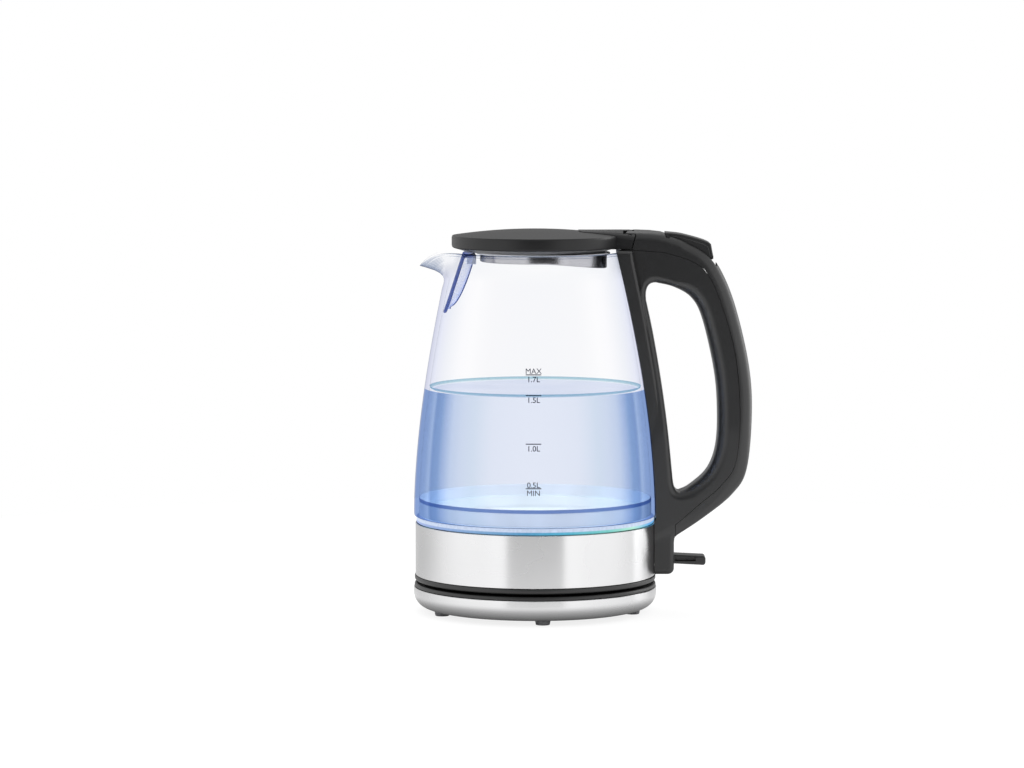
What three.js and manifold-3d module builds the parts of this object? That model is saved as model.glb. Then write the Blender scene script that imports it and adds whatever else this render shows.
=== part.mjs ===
// Cordless electric kettle: a glass jug with a steel band, lifted off a round powered base.
// Millimetres. +Z up, the handle towards +X, the spout towards -X.
// Every piece is drawn around the jug's own axis, and the whole kettle is then moved along X
// so that the origin lies on the table under the middle of its length.

import * as THREE from "three";
import { mergeVertices } from "three/addons/utils/BufferGeometryUtils.js";
import Module from "manifold-3d";

const wasm = await Module();
wasm.setup();

// ---- Driving dimensions ----

const BODY_R = 79; // widest radius: the base ring and the foot of the glass
const HANDLE_REACH = 140.8; // from the jug's axis to the back of the grip
const GAP = 0.3; // between pieces that touch
const RUN = 0.4; // between pieces that turn or slide
const WALL = 2.2; // plastic mouldings
const SHEET = 0.8; // pressed steel

const FOOT_H = 3;
const RING_TOP = 17; // steel ring of the base
const BASE_TOP = 19.7; // black top cover of the base
const JUG_BOTTOM = 21;
const BAND_BOTTOM = 24.6;
const BAND_TOP = 58.3;
const BAND_R = 78;
const GLASS_BOTTOM = 63;
const GLASS_RIM = 234.6;
const GLASS_WALL = 3;
const SPOUT_ROOT = 211; // height at which the spout starts to leave the body
const SPOUT_PUSH = 20.8; // how far the lip stands out
const SPOUT_CURL = 3.6; // how late the wall turns out into the lip
const SPOUT_DROP = 9; // how far the lip sinks below the rim
const SPOUT_HALF_ANGLE = (27 * Math.PI) / 180;

const LID_X = 1; // middle of the lid's disc
const LID_R = 54.2;
const LID_BOTTOM = 237.8;
const LID_EDGE = 244.3;
const LID_CROWN = 249.3;
const LID_SEAT = 234.8; // flat underside
const PAN_X = 5.3; // steel inner pan, set back to clear the filter
const PAN_R = 41.2;

const HINGE_X = 61;
const HINGE_Z = 245.5;
const KNUCKLE_R = 3.2;
const LID_SWING = 0.9; // room round the knuckle, so that the lid can open to 75 degrees
const TAIL_HALF = 14; // half-width of the lid's tail and of the handle
const HANDLE_ROUND = 4; // rounding of the handle's edges
const EAR_INNER = 7.3; // the two hinge ears, across Y
const EAR_OUTER = 11.9;

const SPRING_X = 103.5; // the button's spring, and the post it stands on
const POST_FOOT = 206.5;
const POST_TOP = 231.2;
const POST_R = 3.5;
const KEY_PIVOT_X = 85.6; // lid button
const KEY_PIVOT_Z = 245.4;
const KEY_HALF = 10;
const LATCH_HALF = 4;
const LATCH_BOTTOM = 238.6;
const LATCH_TOP = 241.4;

const PADDLE_X = 84; // on/off paddle's pivot
const PADDLE_Z = 36;
const PADDLE_HALF = 7;
const TRIP_X = 31; // trip lever's pivot
const TRIP_Z = 41.5;
const SPINE_SCREW_Y = 9.3; // the two screws that hold the handle's foot to the band
const SPINE_SCREW_Z = 31.5;

const TOWER_R = 17; // round connector in the middle of the base
const PIN_R = 2.3;
const GLASS_SIDES = 40;
const ROUND = 36; // sides of the other large round pieces
const SMALL = 12; // sides of the small round pieces

// ---- Materials: colour, roughness, metalness ----

const FINISH = {
  charcoal: [0x2c2d2f, 0.48, 0],
  black: [0x151617, 0.55, 0],
  grey_rubber: [0x8b8d90, 0.85, 0],
  dark_rubber: [0x222222, 0.9, 0],
  steel: [0xc4c6c8, 0.32, 1],
  spring_steel: [0x9a9ca0, 0.3, 1],
  brass: [0xc9a24a, 0.35, 1],
  aluminium: [0xb4b7ba, 0.5, 1],
  glass: [0xdfe6f4, 0.05, 0],
  light_guide: [0x9fd8f5, 0.3, 0],
  blue_clear: [0x4a66b8, 0.35, 0],
  silicone: [0xd8dade, 0.7, 0],
  board: [0x1f5a36, 0.6, 0],
  wire_red: [0x9c2b23, 0.6, 0],
  wire_blue: [0x2a4d9c, 0.6, 0],
};

const group = new THREE.Group();

function add(name, finish, geometry, x = 0, y = 0, z = 0) {
  const [color, roughness, metalness] = FINISH[finish];
  const mesh = new THREE.Mesh(geometry, new THREE.MeshStandardMaterial({ color, roughness, metalness }));
  mesh.name = name;
  mesh.position.set(x, y, z);
  group.add(mesh);
  return mesh;
}

// ---- Shape helpers ----

// Two-dimensional points as [across, up] pairs.
const vectors = (pairs) => pairs.map(([a, b]) => new THREE.Vector2(a, b));

// A closed geometry as a solid that can be joined and cut.
function solid(geometry) {
  const bare = geometry.clone();
  bare.deleteAttribute("normal");
  bare.deleteAttribute("uv");
  const merged = mergeVertices(bare, 1e-4);
  const corners = merged.index.array;
  const kept = [];
  for (let i = 0; i < corners.length; i += 3) {
    const [a, b, c] = [corners[i], corners[i + 1], corners[i + 2]];
    if (a !== b && b !== c && c !== a) kept.push(a, b, c);
  }
  const vertProperties = new Float32Array(merged.attributes.position.array);
  return new wasm.Manifold(new wasm.Mesh({ numProp: 3, vertProperties, triVerts: Uint32Array.from(kept) }));
}

// The geometry of a cut solid, without the empty slivers that touching faces can leave.
function geometryOf(shape) {
  const mesh = joined(shape.decompose().filter((part) => Math.abs(part.volume()) > 1)).getMesh();
  const geometry = new THREE.BufferGeometry();
  geometry.setAttribute("position", new THREE.BufferAttribute(new Float32Array(mesh.vertProperties), 3));
  geometry.setIndex(new THREE.BufferAttribute(new Uint32Array(mesh.triVerts), 1));
  geometry.computeVertexNormals();
  return geometry;
}

const joined = (solids) => solids.reduce((whole, part) => whole.add(part));
const cutBy = (whole, cutters) => cutters.reduce((left, cutter) => left.subtract(cutter), whole);

// A profile of [radius, height] pairs turned about the Z axis. One that leaves the axis is closed.
function turned(profile, sides = ROUND) {
  const closed = profile[0][0] > 0 ? [...profile, profile[0]] : profile;
  return new THREE.LatheGeometry(vectors(closed), sides).rotateX(Math.PI / 2);
}

// A shape drawn in X and Z, extruded across Y and centred on y. bevel rounds its edges inwards,
// or spreads them outwards where it flares, and inset shrinks it all round.
function slab(shape, width, { bevel = 0, flares = false, inset = 0, y = 0 } = {}) {
  const depth = width - 2 * bevel;
  const bevelSize = flares ? -bevel : bevel;
  const geometry = new THREE.ExtrudeGeometry(shape, {
    depth,
    curveSegments: 2,
    bevelEnabled: bevel > 0 || inset !== 0,
    bevelThickness: bevel,
    bevelSize,
    bevelOffset: -bevelSize - inset,
    bevelSegments: 2,
  });
  return geometry.translate(0, 0, -depth / 2 - y).rotateX(Math.PI / 2);
}

const polygon = (pairs) => new THREE.Shape(vectors(pairs));

function block(x0, x1, y0, y1, z0, z1) {
  const box = new THREE.BoxGeometry(x1 - x0, y1 - y0, z1 - z0);
  return box.translate((x0 + x1) / 2, (y0 + y1) / 2, (z0 + z1) / 2);
}

// A cylinder across Y, centred on y = 0.
function rod(radius, length, x, z, sides = SMALL) {
  return new THREE.CylinderGeometry(radius, radius, length, sides).translate(x, 0, z);
}

// Points on an arc about (x, z), angles in degrees.
function arc(x, z, radius, from, to, steps) {
  return Array.from({ length: steps + 1 }, (_, i) => {
    const angle = THREE.MathUtils.degToRad(from + ((to - from) * i) / steps);
    return [x + radius * Math.cos(angle), z + radius * Math.sin(angle)];
  });
}

// A round bar or wire along a smooth path of [x, y, z] points.
function wire(points, radius, steps, sides = 8) {
  const path = new THREE.CatmullRomCurve3(points.map((p) => new THREE.Vector3(...p)));
  const section = new THREE.Shape();
  section.absarc(0, 0, radius, 0, 2 * Math.PI);
  return new THREE.ExtrudeGeometry(section, {
    steps,
    curveSegments: sides / 2,
    bevelEnabled: false,
    extrudePath: path,
  });
}

// A helical spring about the Z axis, standing on z = 0.
function coil(radius, thickness, height, turns) {
  const perTurn = 7;
  const points = Array.from({ length: turns * perTurn + 1 }, (_, i) => {
    const angle = (i / perTurn) * 2 * Math.PI;
    return [radius * Math.cos(angle), radius * Math.sin(angle), (height * i) / (turns * perTurn)];
  });
  return wire(points, thickness / 2, turns * perTurn, 4);
}

// Moves every vertex of a geometry to the place that the rule gives.
function bent(geometry, rule) {
  const position = geometry.attributes.position;
  for (let i = 0; i < position.count; i += 1) {
    const [x, y, z] = rule(position.getX(i), position.getY(i), position.getZ(i));
    position.setXYZ(i, x, y, z);
  }
  return geometry;
}

// ---- Base ----

const LIP_R = 10; // rounding of the steel ring's lower edge
const COVER_R = 68.4; // bottom cover
const SCREW_CIRCLE = 50;
const FOOT_CIRCLE = 65;

function baseTrimRing() {
  const lipX = BODY_R - LIP_R;
  const lipZ = FOOT_H + LIP_R;
  const outside = arc(lipX, lipZ, LIP_R, -90, 0, 3);
  const inside = arc(lipX, lipZ, LIP_R - SHEET, 0, -90, 3);
  const profile = [...outside, [BODY_R, RING_TOP - GAP], [BODY_R - SHEET, RING_TOP - GAP], ...inside];
  const ring = solid(turned(profile));
  return geometryOf(ring.subtract(solid(block(-6.4, 6.4, 60, 90, 4, 12.4))));
}

function screwPoint(i) {
  const angle = ((90 + 120 * i + 60) * Math.PI) / 180;
  return [SCREW_CIRCLE * Math.cos(angle), SCREW_CIRCLE * Math.sin(angle)];
}

function baseBottomCover() {
  const floor = FOOT_H + GAP;
  const inner = COVER_R - WALL;
  const rim = 9;
  const sheet = floor + 2;
  const profile = [[0, floor], [COVER_R, floor], [COVER_R, rim], [inner, rim], [inner, sheet], [0, sheet]];
  const holes = [0, 1, 2].map((i) => {
    const hole = new THREE.CylinderGeometry(1.8, 3.6, 3, SMALL).rotateX(Math.PI / 2);
    return solid(hole.translate(...screwPoint(i), floor + 1));
  });
  const notch = solid(block(-6.4, 6.4, 60, 90, 6, 12.4));
  return geometryOf(cutBy(solid(turned(profile)), [...holes, notch]));
}

function baseTopCover() {
  const hole = TOWER_R + 1;
  const shell = turned([
    [hole, 16.8], [75, 16.2], [75, 12.5], [77.4, 12.5], [77.4, RING_TOP], [78.6, RING_TOP],
    [78.6, 18.9], [77.4, BASE_TOP], [74, 18.4], [hole, 19],
  ]);
  const bosses = [0, 1, 2].map((i) => {
    const boss = new THREE.CylinderGeometry(4, 4, 10.4, SMALL).rotateX(Math.PI / 2);
    return solid(boss.translate(...screwPoint(i), 6.6 + 5.2));
  });
  const bores = [0, 1, 2].map((i) => {
    const bore = new THREE.CylinderGeometry(1.8, 1.8, 9, SMALL).rotateX(Math.PI / 2);
    return solid(bore.translate(...screwPoint(i), 5.5 + 4.5));
  });
  return geometryOf(cutBy(joined([solid(shell), ...bosses]), bores));
}

// Countersunk screw with its head down.
const baseScrew = () => turned([[0, 0], [2.8, 0], [1.4, 1.6], [1.4, 9], [0, 9.8]], 10);

// The raised socket: a hole for the middle pin and a round slot for the ring contact.
const baseConnector = () => turned([
  [0, 6], [TOWER_R, 6], [TOWER_R, 12], [24, 12], [24, 15.8], [TOWER_R, 15.8], [TOWER_R, 29.2],
  [TOWER_R - 0.8, 30], [10.6, 30], [10.6, 12], [7.4, 12], [7.4, 30], [3.4, 30], [3.4, 9.5], [0, 9.5],
], 24);

// Brass contacts: a cup for the middle pin, a sleeve in the slot and a sleeve round the outside.
const liveContact = () => turned([
  [0, 9.8], [3.1, 9.8], [3.1, 20], [2.75, 20], [2.75, 10.6], [0, 10.6],
], 24);
const neutralContact = () => turned([[7.7, 12.3], [8.2, 12.3], [8.2, 21], [7.7, 21]], 24);
const earthContact = () => turned([[TOWER_R + GAP, 21], [17.8, 21], [17.8, 26], [TOWER_R + GAP, 26]], 24);

// The jug's half of the connector: a cap that drops over the socket, with a pin and a ring.
const jugConnector = () => turned([
  [0, 32], [18.7, 32], [18.7, 23.5], [20.8, 23.5], [20.8, 35.6], [0, 35.6],
], 24);
const plugPin = () => turned([[0, 14], [PIN_R - 0.8, 14], [PIN_R, 15.2], [PIN_R, 31.7], [0, 31.7]], 16);
const plugRing = () => turned([[8.7, 16], [9.5, 16], [9.5, 31.7], [8.7, 31.7]], 24);

function cordGland() {
  const body = solid(block(-6, 6, 68.9, 78.2, 4.3, 12.1));
  const collar = solid(block(-8.5, 8.5, 70.6, 73.2, 5.6, 12.1));
  const hole = solid(new THREE.CylinderGeometry(3.3, 3.3, 30, 16).translate(0, 74, 8.2));
  return geometryOf(joined([body, collar]).subtract(hole));
}

// Wires from the gland to the foot of the connector.
function baseLead(side) {
  const path = [[side * 2.4, 67, 8.4], [side * 3, 50, 8.2], [side * 7, 32, 8], [side * 8, 18.5, 8]];
  return wire(path, 0.9, 8, 6);
}

// ---- Jug body ----

// Outer radius of the glass at a height: full at the foot and narrowing to the rim.
function glassR(z) {
  const t = (z - 68) / (GLASS_RIM - 68);
  return BODY_R - 3.7 * t - 27 * t * t + 7.2 * t * t * t;
}

const glassInside = (z) => glassR(z) - GLASS_WALL - 0.2;

// The spout: the rim is drawn out towards -X and sinks, by a weight that fades to both sides.
function pourSpout(x, y, z) {
  const rise = THREE.MathUtils.clamp((z - SPOUT_ROOT) / (GLASS_RIM - SPOUT_ROOT), 0, 1);
  const angle = Math.min(Math.abs(Math.atan2(y, -x)) / SPOUT_HALF_ANGLE, 1);
  const weight = 0.5 + 0.5 * Math.cos(Math.PI * angle);
  return [x - SPOUT_PUSH * weight * rise ** SPOUT_CURL, y, z - SPOUT_DROP * weight ** 3 * rise];
}

const GLASS_LEVELS = [68, 92, 116, 140, 164, 188, SPOUT_ROOT, 219, 225, 229.5, 232.6];

function glassBody() {
  const heel = [[75.6, GLASS_BOTTOM], [78.2, GLASS_BOTTOM], [BODY_R, GLASS_BOTTOM + 1]];
  const outside = GLASS_LEVELS.map((z) => [glassR(z), z]);
  const top = glassR(GLASS_RIM);
  const rim = [[top, GLASS_RIM - 0.7], [top - 0.8, GLASS_RIM], [top - 2.2, GLASS_RIM]];
  const inside = GLASS_LEVELS.map((z) => [glassInside(z), z]).reverse();
  return bent(turned([...heel, ...outside, ...rim, ...inside], GLASS_SIDES), pourSpout);
}

// The glass and everything inside it, filled and grown a little, for cutting what clasps the jug.
function jugEnvelope(grow) {
  const side = GLASS_LEVELS.map((z) => [glassR(z) + grow, z]);
  const rim = glassR(GLASS_RIM) + grow;
  return solid(turned([
    [0, 15], [BAND_R + grow, 15], [BAND_R + grow, BAND_TOP + 1], [BODY_R + grow, BAND_TOP + 3],
    ...side, [rim, GLASS_RIM], [rim, 256], [0, 256],
  ], GLASS_SIDES));
}

const jugBottomCover = () => turned([
  [21.8, 22.2], [75, JUG_BOTTOM], [77.6, JUG_BOTTOM], [78.5, 21.9], [78.5, BAND_BOTTOM - GAP],
  [76.9, BAND_BOTTOM - GAP], [76.9, 28], [75, 28], [75, 23.4], [23.8, 24.4], [23.8, 34], [21.8, 34],
]);

// Clearance holes for the handle's two screws, along X and centred on x.
function spineScrewHoles(x, length) {
  return [-1, 1].map((side) => {
    const hole = rod(1.5, length, 0, 0, 10).rotateZ(Math.PI / 2);
    return solid(hole.translate(x, side * SPINE_SCREW_Y, SPINE_SCREW_Z));
  });
}

function steelBand() {
  const inner = BAND_R - SHEET;
  const profile = [[inner, BAND_BOTTOM], [BAND_R, BAND_BOTTOM], [BAND_R, BAND_TOP], [inner, BAND_TOP]];
  const band = solid(turned(profile));
  const slot = solid(block(60, 90, -6, 6, 37, 46));
  return geometryOf(cutBy(band, [slot, ...spineScrewHoles(75, 30)]));
}

const lightRing = () => turned([[73.7, 58.7], [76.8, 58.7], [77.4, 59.3], [77.4, 62.7], [73.7, 62.7]]);

// Shallow steel pan that closes the bottom of the glass.
const heatingPlate = () => turned([
  [0, 58.3], [71, 58.3], [73, 60.2], [73, 67], [72.2, 67], [72.2, 60.6], [70.7, 59.2], [0, 59.2],
]);

const plateSeal = () => turned([
  [73.3, 63.4], [75.2, 63.4], [75.2, 68.6], [71.9, 68.6], [71.9, 67.4], [73.3, 67.4],
]);

const heatSpreader = () => turned([[0, 54.4], [60, 54.4], [60, 58], [0, 58]], 32);

// Open ring under the spreader, its two ends turned down to their terminals.
function heatingElement() {
  const radius = 46;
  const ring = [-140, -116, -92, -68, -44, -20, 4, 28, 52, 76, 100, 124, 140].map((degrees) => {
    const angle = (degrees * Math.PI) / 180;
    return [radius * Math.cos(angle), radius * Math.sin(angle), 50.3];
  });
  const [first, last] = [ring[0], ring[ring.length - 1]];
  const turnDown = ([x, y]) => [[x * 1.02, y * 0.72, 47.5], [x * 1.02, y * 0.68, 42]];
  return wire([...turnDown(first).reverse(), ...ring, ...turnDown(last)], 3.6, 30, 6);
}

// Control block under the plate: switch contacts, two snap discs on top and a slot for the trip lever.
function controlBody() {
  const drum = solid(turned([[0, 36.2], [27, 36.2], [27, 45], [24, 47], [0, 47]], 24));
  const arms = [-1, 1].map((side) => solid(block(24, 34, side * 6 - 1.6, side * 6 + 1.6, 38.5, 44)));
  const slot = solid(block(19, 40, -4.4, 4.4, 38, 50));
  const pinHole = solid(rod(1.4, 30, TRIP_X, TRIP_Z, 12));
  return geometryOf(cutBy(joined([drum, ...arms]), [slot, pinHole]));
}

const snapDisc = (radius) => turned([[0, 0], [radius, 0.7], [radius, 1.3], [0, 0.6]], 16);

const tripPin = () => rod(1, 14.6, TRIP_X, TRIP_Z, 12);

// Lever from the control out through the band, with its eye on the trip pin.
function tripLever() {
  const eye = solid(rod(2.6, 7.4, TRIP_X, TRIP_Z, 16));
  const bar = solid(slab(polygon([[TRIP_X, 40.2], [81.6, 40.2], [81.6, 42.8], [TRIP_X, 42.8]]), 7.4));
  return geometryOf(joined([eye, bar]).subtract(solid(rod(1.4, 12, TRIP_X, TRIP_Z, 12))));
}

// Ring-shaped circuit board with eight lamps under the light ring.
function ledBoard() {
  const board = solid(turned([[66, 52], [76.6, 52], [76.6, 53.6], [66, 53.6]], 32));
  const lamps = Array.from({ length: 8 }, (_, i) => {
    const lamp = block(72.6, 76, -2, 2, 53.5, 56.2).rotateZ(((i + 0.5) * Math.PI) / 4);
    return solid(lamp);
  });
  return geometryOf(joined([board, ...lamps]));
}

// Wires from the control to the lamps.
function ledLead(side) {
  const path = [[-27.5, 5, 41], [-36, 6, 43.5], [-52, 7, 44], [-65, 8, 48], [-69, 8.5, 51.3]];
  return wire(path.map(([x, y, z]) => [x, side * y, z]), 0.8, 10, 6);
}

// ---- Spout filter ----

const FILTER_BOTTOM = 196;
const FILTER_TOP = 232.8;
const FILTER_HALF = 21.5;

// Half-width of the shield-shaped filter at a height.
function filterHalf(z) {
  return FILTER_HALF * ((z - FILTER_BOTTOM) / (FILTER_TOP - FILTER_BOTTOM)) ** 0.35;
}

// How far the mesh bulges into the jug at a height, on the middle plane.
function filterBulge(z) {
  return -55.6 + 16 * Math.max((z - 199) / 33, 0) ** 0.6;
}

function filterFrame() {
  const rail = [];
  for (let i = -9; i <= 9; i += 1) {
    const sine = Math.sin((i * Math.PI) / 18);
    const z = FILTER_BOTTOM + (FILTER_TOP - FILTER_BOTTOM) * Math.abs(sine) ** 2.86;
    const y = FILTER_HALF * sine;
    const radius = glassInside(z) - 1.7;
    rail.push([-Math.sqrt(radius * radius - y * y), y, z]);
  }
  const bar = [-1, -0.7, -0.35, 0, 0.35, 0.7, 1].map((p) => {
    const edge = rail[0][0];
    const middle = filterBulge(FILTER_TOP) - 0.4;
    return [edge + (middle - edge) * (1 - p * p), p * FILTER_HALF, FILTER_TOP - 0.1];
  });
  const tab = block(-44.5, -38.4, -4, 4, 226.6, 232.6);
  const tabBelow = block(-60, -37, -5, 5, 220, 226.5);
  const frame = joined([solid(wire(rail, 1.15, 24, 6)), solid(wire(bar, 1.1, 10, 6)), solid(tab)]);
  return geometryOf(frame.subtract(solid(tabBelow)));
}

// Fine mesh, drawn as a thin bulging sheet inside the frame.
function filterMesh() {
  const sheet = new THREE.BoxGeometry(2, 1, 1, 6, 5, 1);
  return bent(sheet, (across, up, through) => {
    const z = 200 + (up + 0.5) * 24.6;
    const half = filterHalf(z) - 2.6;
    const edge = -Math.sqrt((glassInside(z) - 2.2) ** 2 - half * half) + 1.4;
    const middle = filterBulge(z);
    return [edge + (middle - edge) * (1 - across * across) + through * 0.6, across * half, z];
  });
}

// ---- Handle ----

// Side view of the whole handle and of the lid's tail, without the finger gap. Its left edge
// lies inside the jug, where the jug's envelope cuts it away.
function handleOutline() {
  const shape = new THREE.Shape();
  shape.moveTo(28, 248.6);
  shape.lineTo(66, 248.7);
  shape.splineThru(vectors([
    [81, 247.6], [97, 242.3], [111.7, 234], [121.2, 221], [130.2, 197.7], [138.6, 161.2],
    [HANDLE_REACH, 130],
    [137.5, 93.4], [128, 77], [109.6, 62.2], [92, 50.4],
  ]));
  shape.lineTo(90.3, 46);
  shape.lineTo(90.3, 29.2);
  shape.lineTo(86.1, 25);
  shape.lineTo(28, 25);
  shape.closePath();
  return shape;
}

function fingerGap() {
  const gap = new THREE.Shape();
  gap.moveTo(71.6, 204);
  gap.splineThru(vectors([[76.3, 182], [81.7, 150.7], [86, 119.4], [89, 90]]));
  gap.quadraticCurveTo(89.8, 78.6, 93.6, 79);
  gap.splineThru(vectors([
    [100.4, 82.6], [111.6, 93], [117.3, 108], [118.5, 130], [116.4, 156.8], [108.8, 190.2], [101.4, 204.8],
    [90, 212.2], [78, 215.2],
  ]));
  gap.quadraticCurveTo(70.4, 215.6, 71.6, 204);
  return gap;
}

// The handle is slimmer towards its foot.
const slimFoot = (x, y, z) => [x, y * (1 - 0.2 * THREE.MathUtils.clamp((120 - z) / 70, 0, 1)), z];

// The broad strip of the spine that lies on the glass: wide at the rim, narrow at the foot.
function spineStrip() {
  const levels = [236, 225, 208, 190, 168, 145, 120, 95, 75, 60];
  const edge = levels.map((z) => [glassR(Math.min(z, GLASS_RIM)) + 7, z]);
  const strip = slab(polygon([[40, 236], ...edge, [86, 50], [86, 26], [40, 26]]), 37, { bevel: 3 });
  return bent(strip, (x, y, z) => {
    const rise = THREE.MathUtils.clamp((z - 60) / 175, 0, 1);
    return [x, y * (0.6 + 0.4 * rise), z];
  });
}

// Everything above and outside the parting line between the handle's inner half and its cover.
function coverZone(inward) {
  const parting = new THREE.Shape();
  parting.moveTo(62, 260);
  parting.lineTo(62, 236.6 - inward);
  const line = vectors([
    [83, 235], [101.6, 229], [112, 220], [121.5, 198], [129.6, 168], [132.8, 130], [130, 98], [120, 82.6],
    [106, 70.4], [93.5, 59.4],
  ]);
  parting.splineThru(line.map((p) => p.add(new THREE.Vector2(95 - p.x, 150 - p.y).setLength(inward))));
  parting.lineTo(91.2 - inward, 57.5 + inward);
  parting.lineTo(91.2 - inward, 40);
  parting.lineTo(170, 40);
  parting.lineTo(170, 260);
  parting.closePath();
  return solid(slab(parting, 60));
}

// Where the lid's tail lies, with its round knuckle at the back. around widens the knuckle and clear
// the rest, for the handle that goes round it.
function tailZone(clear = 0, around = 0) {
  const knuckle = arc(HINGE_X, HINGE_Z, KNUCKLE_R + around, 90, 0, 6);
  const foot = [62 + clear, 236.8 - clear];
  return solid(slab(polygon([[20, 260], [HINGE_X, 260], ...knuckle, foot, [20, 236.8 - clear]]), 60));
}

const outerBar = () => solid(bent(slab(handleOutline(), 2 * TAIL_HALF, { bevel: HANDLE_ROUND }), slimFoot));

function handleBar() {
  const gap = slab(fingerGap(), 2 * TAIL_HALF + 0.4, { bevel: HANDLE_ROUND, flares: true });
  return outerBar().subtract(solid(bent(gap, slimFoot)));
}

// The hollow of the handle: its outline shrunk by one wall, kept out of the spine.
function handleHollow() {
  const core = slab(handleOutline(), 2 * (TAIL_HALF - WALL), { bevel: 2, inset: WALL });
  const inner = solid(bent(core, slimFoot));
  const gap = solid(slab(fingerGap(), 60, { inset: -WALL }));
  const room = [
    [67.2, 255], [67.2, 222], [78, 213], [97, 205], [97, 84],
    [80.6, 74], [80.6, 27.2], [160, 27.2], [160, 255],
  ];
  const footSides = [-1, 1].map((side) => solid(block(60, 96, side * 12.9 - 5, side * 12.9 + 5, 20, 64)));
  return cutBy(inner.intersect(solid(slab(polygon(room), 60))), [gap, ...footSides]);
}

// Channel between the spine and the glass for the steam tube.
function steamChannel() {
  const levels = [230, 208, 186, 160, 134, 108, 82, 60];
  const outer = levels.map((z) => [glassR(z) + 6.8, z]);
  return solid(slab(polygon([[40, 230], ...outer, [84.4, 44], [40, 44]]), 9));
}

function hingeEars() {
  return [-1, 1].map((side) => {
    const middle = (side * (EAR_INNER + EAR_OUTER)) / 2;
    const disc = rod(KNUCKLE_R - 0.1, EAR_OUTER - EAR_INNER, HINGE_X, HINGE_Z, 24).translate(0, middle, 0);
    const neckSide = polygon([[HINGE_X, 242.6], [69, 238.6], [69, 248.2], [HINGE_X, 248.5]]);
    const neck = slab(neckSide, EAR_OUTER - EAR_INNER, { y: middle });
    return solid(disc).add(solid(neck));
  });
}

// Opening in the top of the cover that the lid button fills.
const KEY_WINDOW = [[83.8, 258], [83.8, 242.6], [92, 236.5], [109, 225.5], [117.4, 225.5], [117.4, 258]];

const handle = joined([handleBar(), solid(spineStrip())]).subtract(jugEnvelope(GAP));
const hollowHandle = cutBy(handle, [handleHollow(), steamChannel(), tailZone(RUN, LID_SWING)]);

function handleBody() {
  const paddleWindow = solid(block(86, 95, -PADDLE_HALF - 0.6, PADDLE_HALF + 0.6, 29.6, 40.6));
  const leverWindow = solid(block(70, 84, -4.4, 4.4, 38.6, 45));
  const pinHole = solid(rod(1.6, 21, PADDLE_X, PADDLE_Z, 16));
  const cutters = [coverZone(GAP), paddleWindow, leverWindow, pinHole, ...spineScrewHoles(78, 16)];
  const post = new THREE.CylinderGeometry(POST_R, POST_R, POST_TOP - POST_FOOT, SMALL).rotateX(Math.PI / 2);
  post.translate(SPRING_X, 0, (POST_TOP + POST_FOOT) / 2);
  return geometryOf(cutBy(hollowHandle, cutters).add(solid(post)));
}

function handleCover() {
  const shell = hollowHandle.intersect(coverZone(0));
  const window = solid(slab(polygon(KEY_WINDOW), 2 * (KEY_HALF + RUN)));
  const latchSide = LATCH_HALF + RUN;
  const latchHole = solid(block(60, 72, -latchSide, latchSide, LATCH_BOTTOM - RUN, LATCH_TOP + RUN));
  const trunnionHoles = solid(rod(1.6, 24.4, KEY_PIVOT_X, KEY_PIVOT_Z, 16));
  const pinHole = solid(rod(1.4, 26, HINGE_X, HINGE_Z, 16));
  const whole = joined([shell.subtract(window), ...hingeEars()]);
  return geometryOf(cutBy(whole, [latchHole, trunnionHoles, pinHole]));
}

const hingePin = () => rod(1, 25.2, HINGE_X, HINGE_Z, 16);
const lidSpring = () => coil(1.85, 0.6, 8, 5).rotateX(Math.PI / 2).translate(HINGE_X, 4, HINGE_Z);
const paddlePin = () => rod(1.2, 20.4, PADDLE_X, PADDLE_Z, 16);

function steamTube() {
  const levels = [226, 205, 180, 155, 130, 105, 80, 64];
  const path = levels.map((z) => [glassR(z) + 3.6, 0, z]);
  return wire([...path, [82.2, 0, 52]], 2.4, 14, 6);
}

// Screw along +X, its head inside the band.
function spineScrew() {
  return turned([[0, 0], [2.6, 0], [2.6, 1.6], [1.2, 1.6], [1.2, 9], [0, 9.8]], 10).rotateY(Math.PI / 2);
}

// ---- Lid ----

function lidCover() {
  const dome = Array.from({ length: 5 }, (_, i) => {
    const radius = (LID_R - 0.8) * (1 - i / 4);
    return [radius, LID_CROWN - (LID_CROWN - LID_EDGE - 0.5) * (radius / LID_R) ** 2];
  });
  const under = [0, 27, 48].map((radius) => {
    return [radius, LID_CROWN - WALL - (LID_CROWN - LID_EDGE) * (radius / LID_R) ** 2];
  });
  const inner = LID_R - WALL;
  const foot = LID_R - 0.4;
  const wall = [[inner, 241.6], [inner, LID_BOTTOM], [foot, LID_BOTTOM], [LID_R, 239], [LID_R, LID_EDGE]];
  const shell = solid(turned([...under, ...wall, ...dome]).translate(LID_X, 0, 0));
  const tail = outerBar().intersect(tailZone());
  const whole = shell.add(tail.subtract(solid(block(10, 40, -20, 20, 200, 245.6))));
  const earSlots = [-1, 1].map((side) => {
    const ends = [side * (EAR_INNER - RUN), side * (EAR_OUTER + RUN)];
    return solid(block(HINGE_X - 4.4, 70, Math.min(...ends), Math.max(...ends), 230, 256));
  });
  const bore = solid(rod(1.4, 26, HINGE_X, HINGE_Z, 16));
  const springRoom = solid(rod(2.5, 9.4, HINGE_X, HINGE_Z, 16));
  return geometryOf(cutBy(whole, [...earSlots, bore, springRoom]));
}

// Underside of the lid: a flat seat with a chamfer up to the wall.
function lidBase() {
  const disc = solid(turned([
    [0, LID_SEAT], [44, LID_SEAT], [53.4, 237.5], [51.6, 237.5], [51.6, 239.6], [49.6, 239.6],
    [49.6, 238.4], [43.4, 236.6], [0, 236.4],
  ]).translate(LID_X, 0, 0));
  return geometryOf(disc.subtract(solid(block(30, 70, -TAIL_HALF - GAP, TAIL_HALF + GAP, 236.5, 250))));
}

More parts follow.
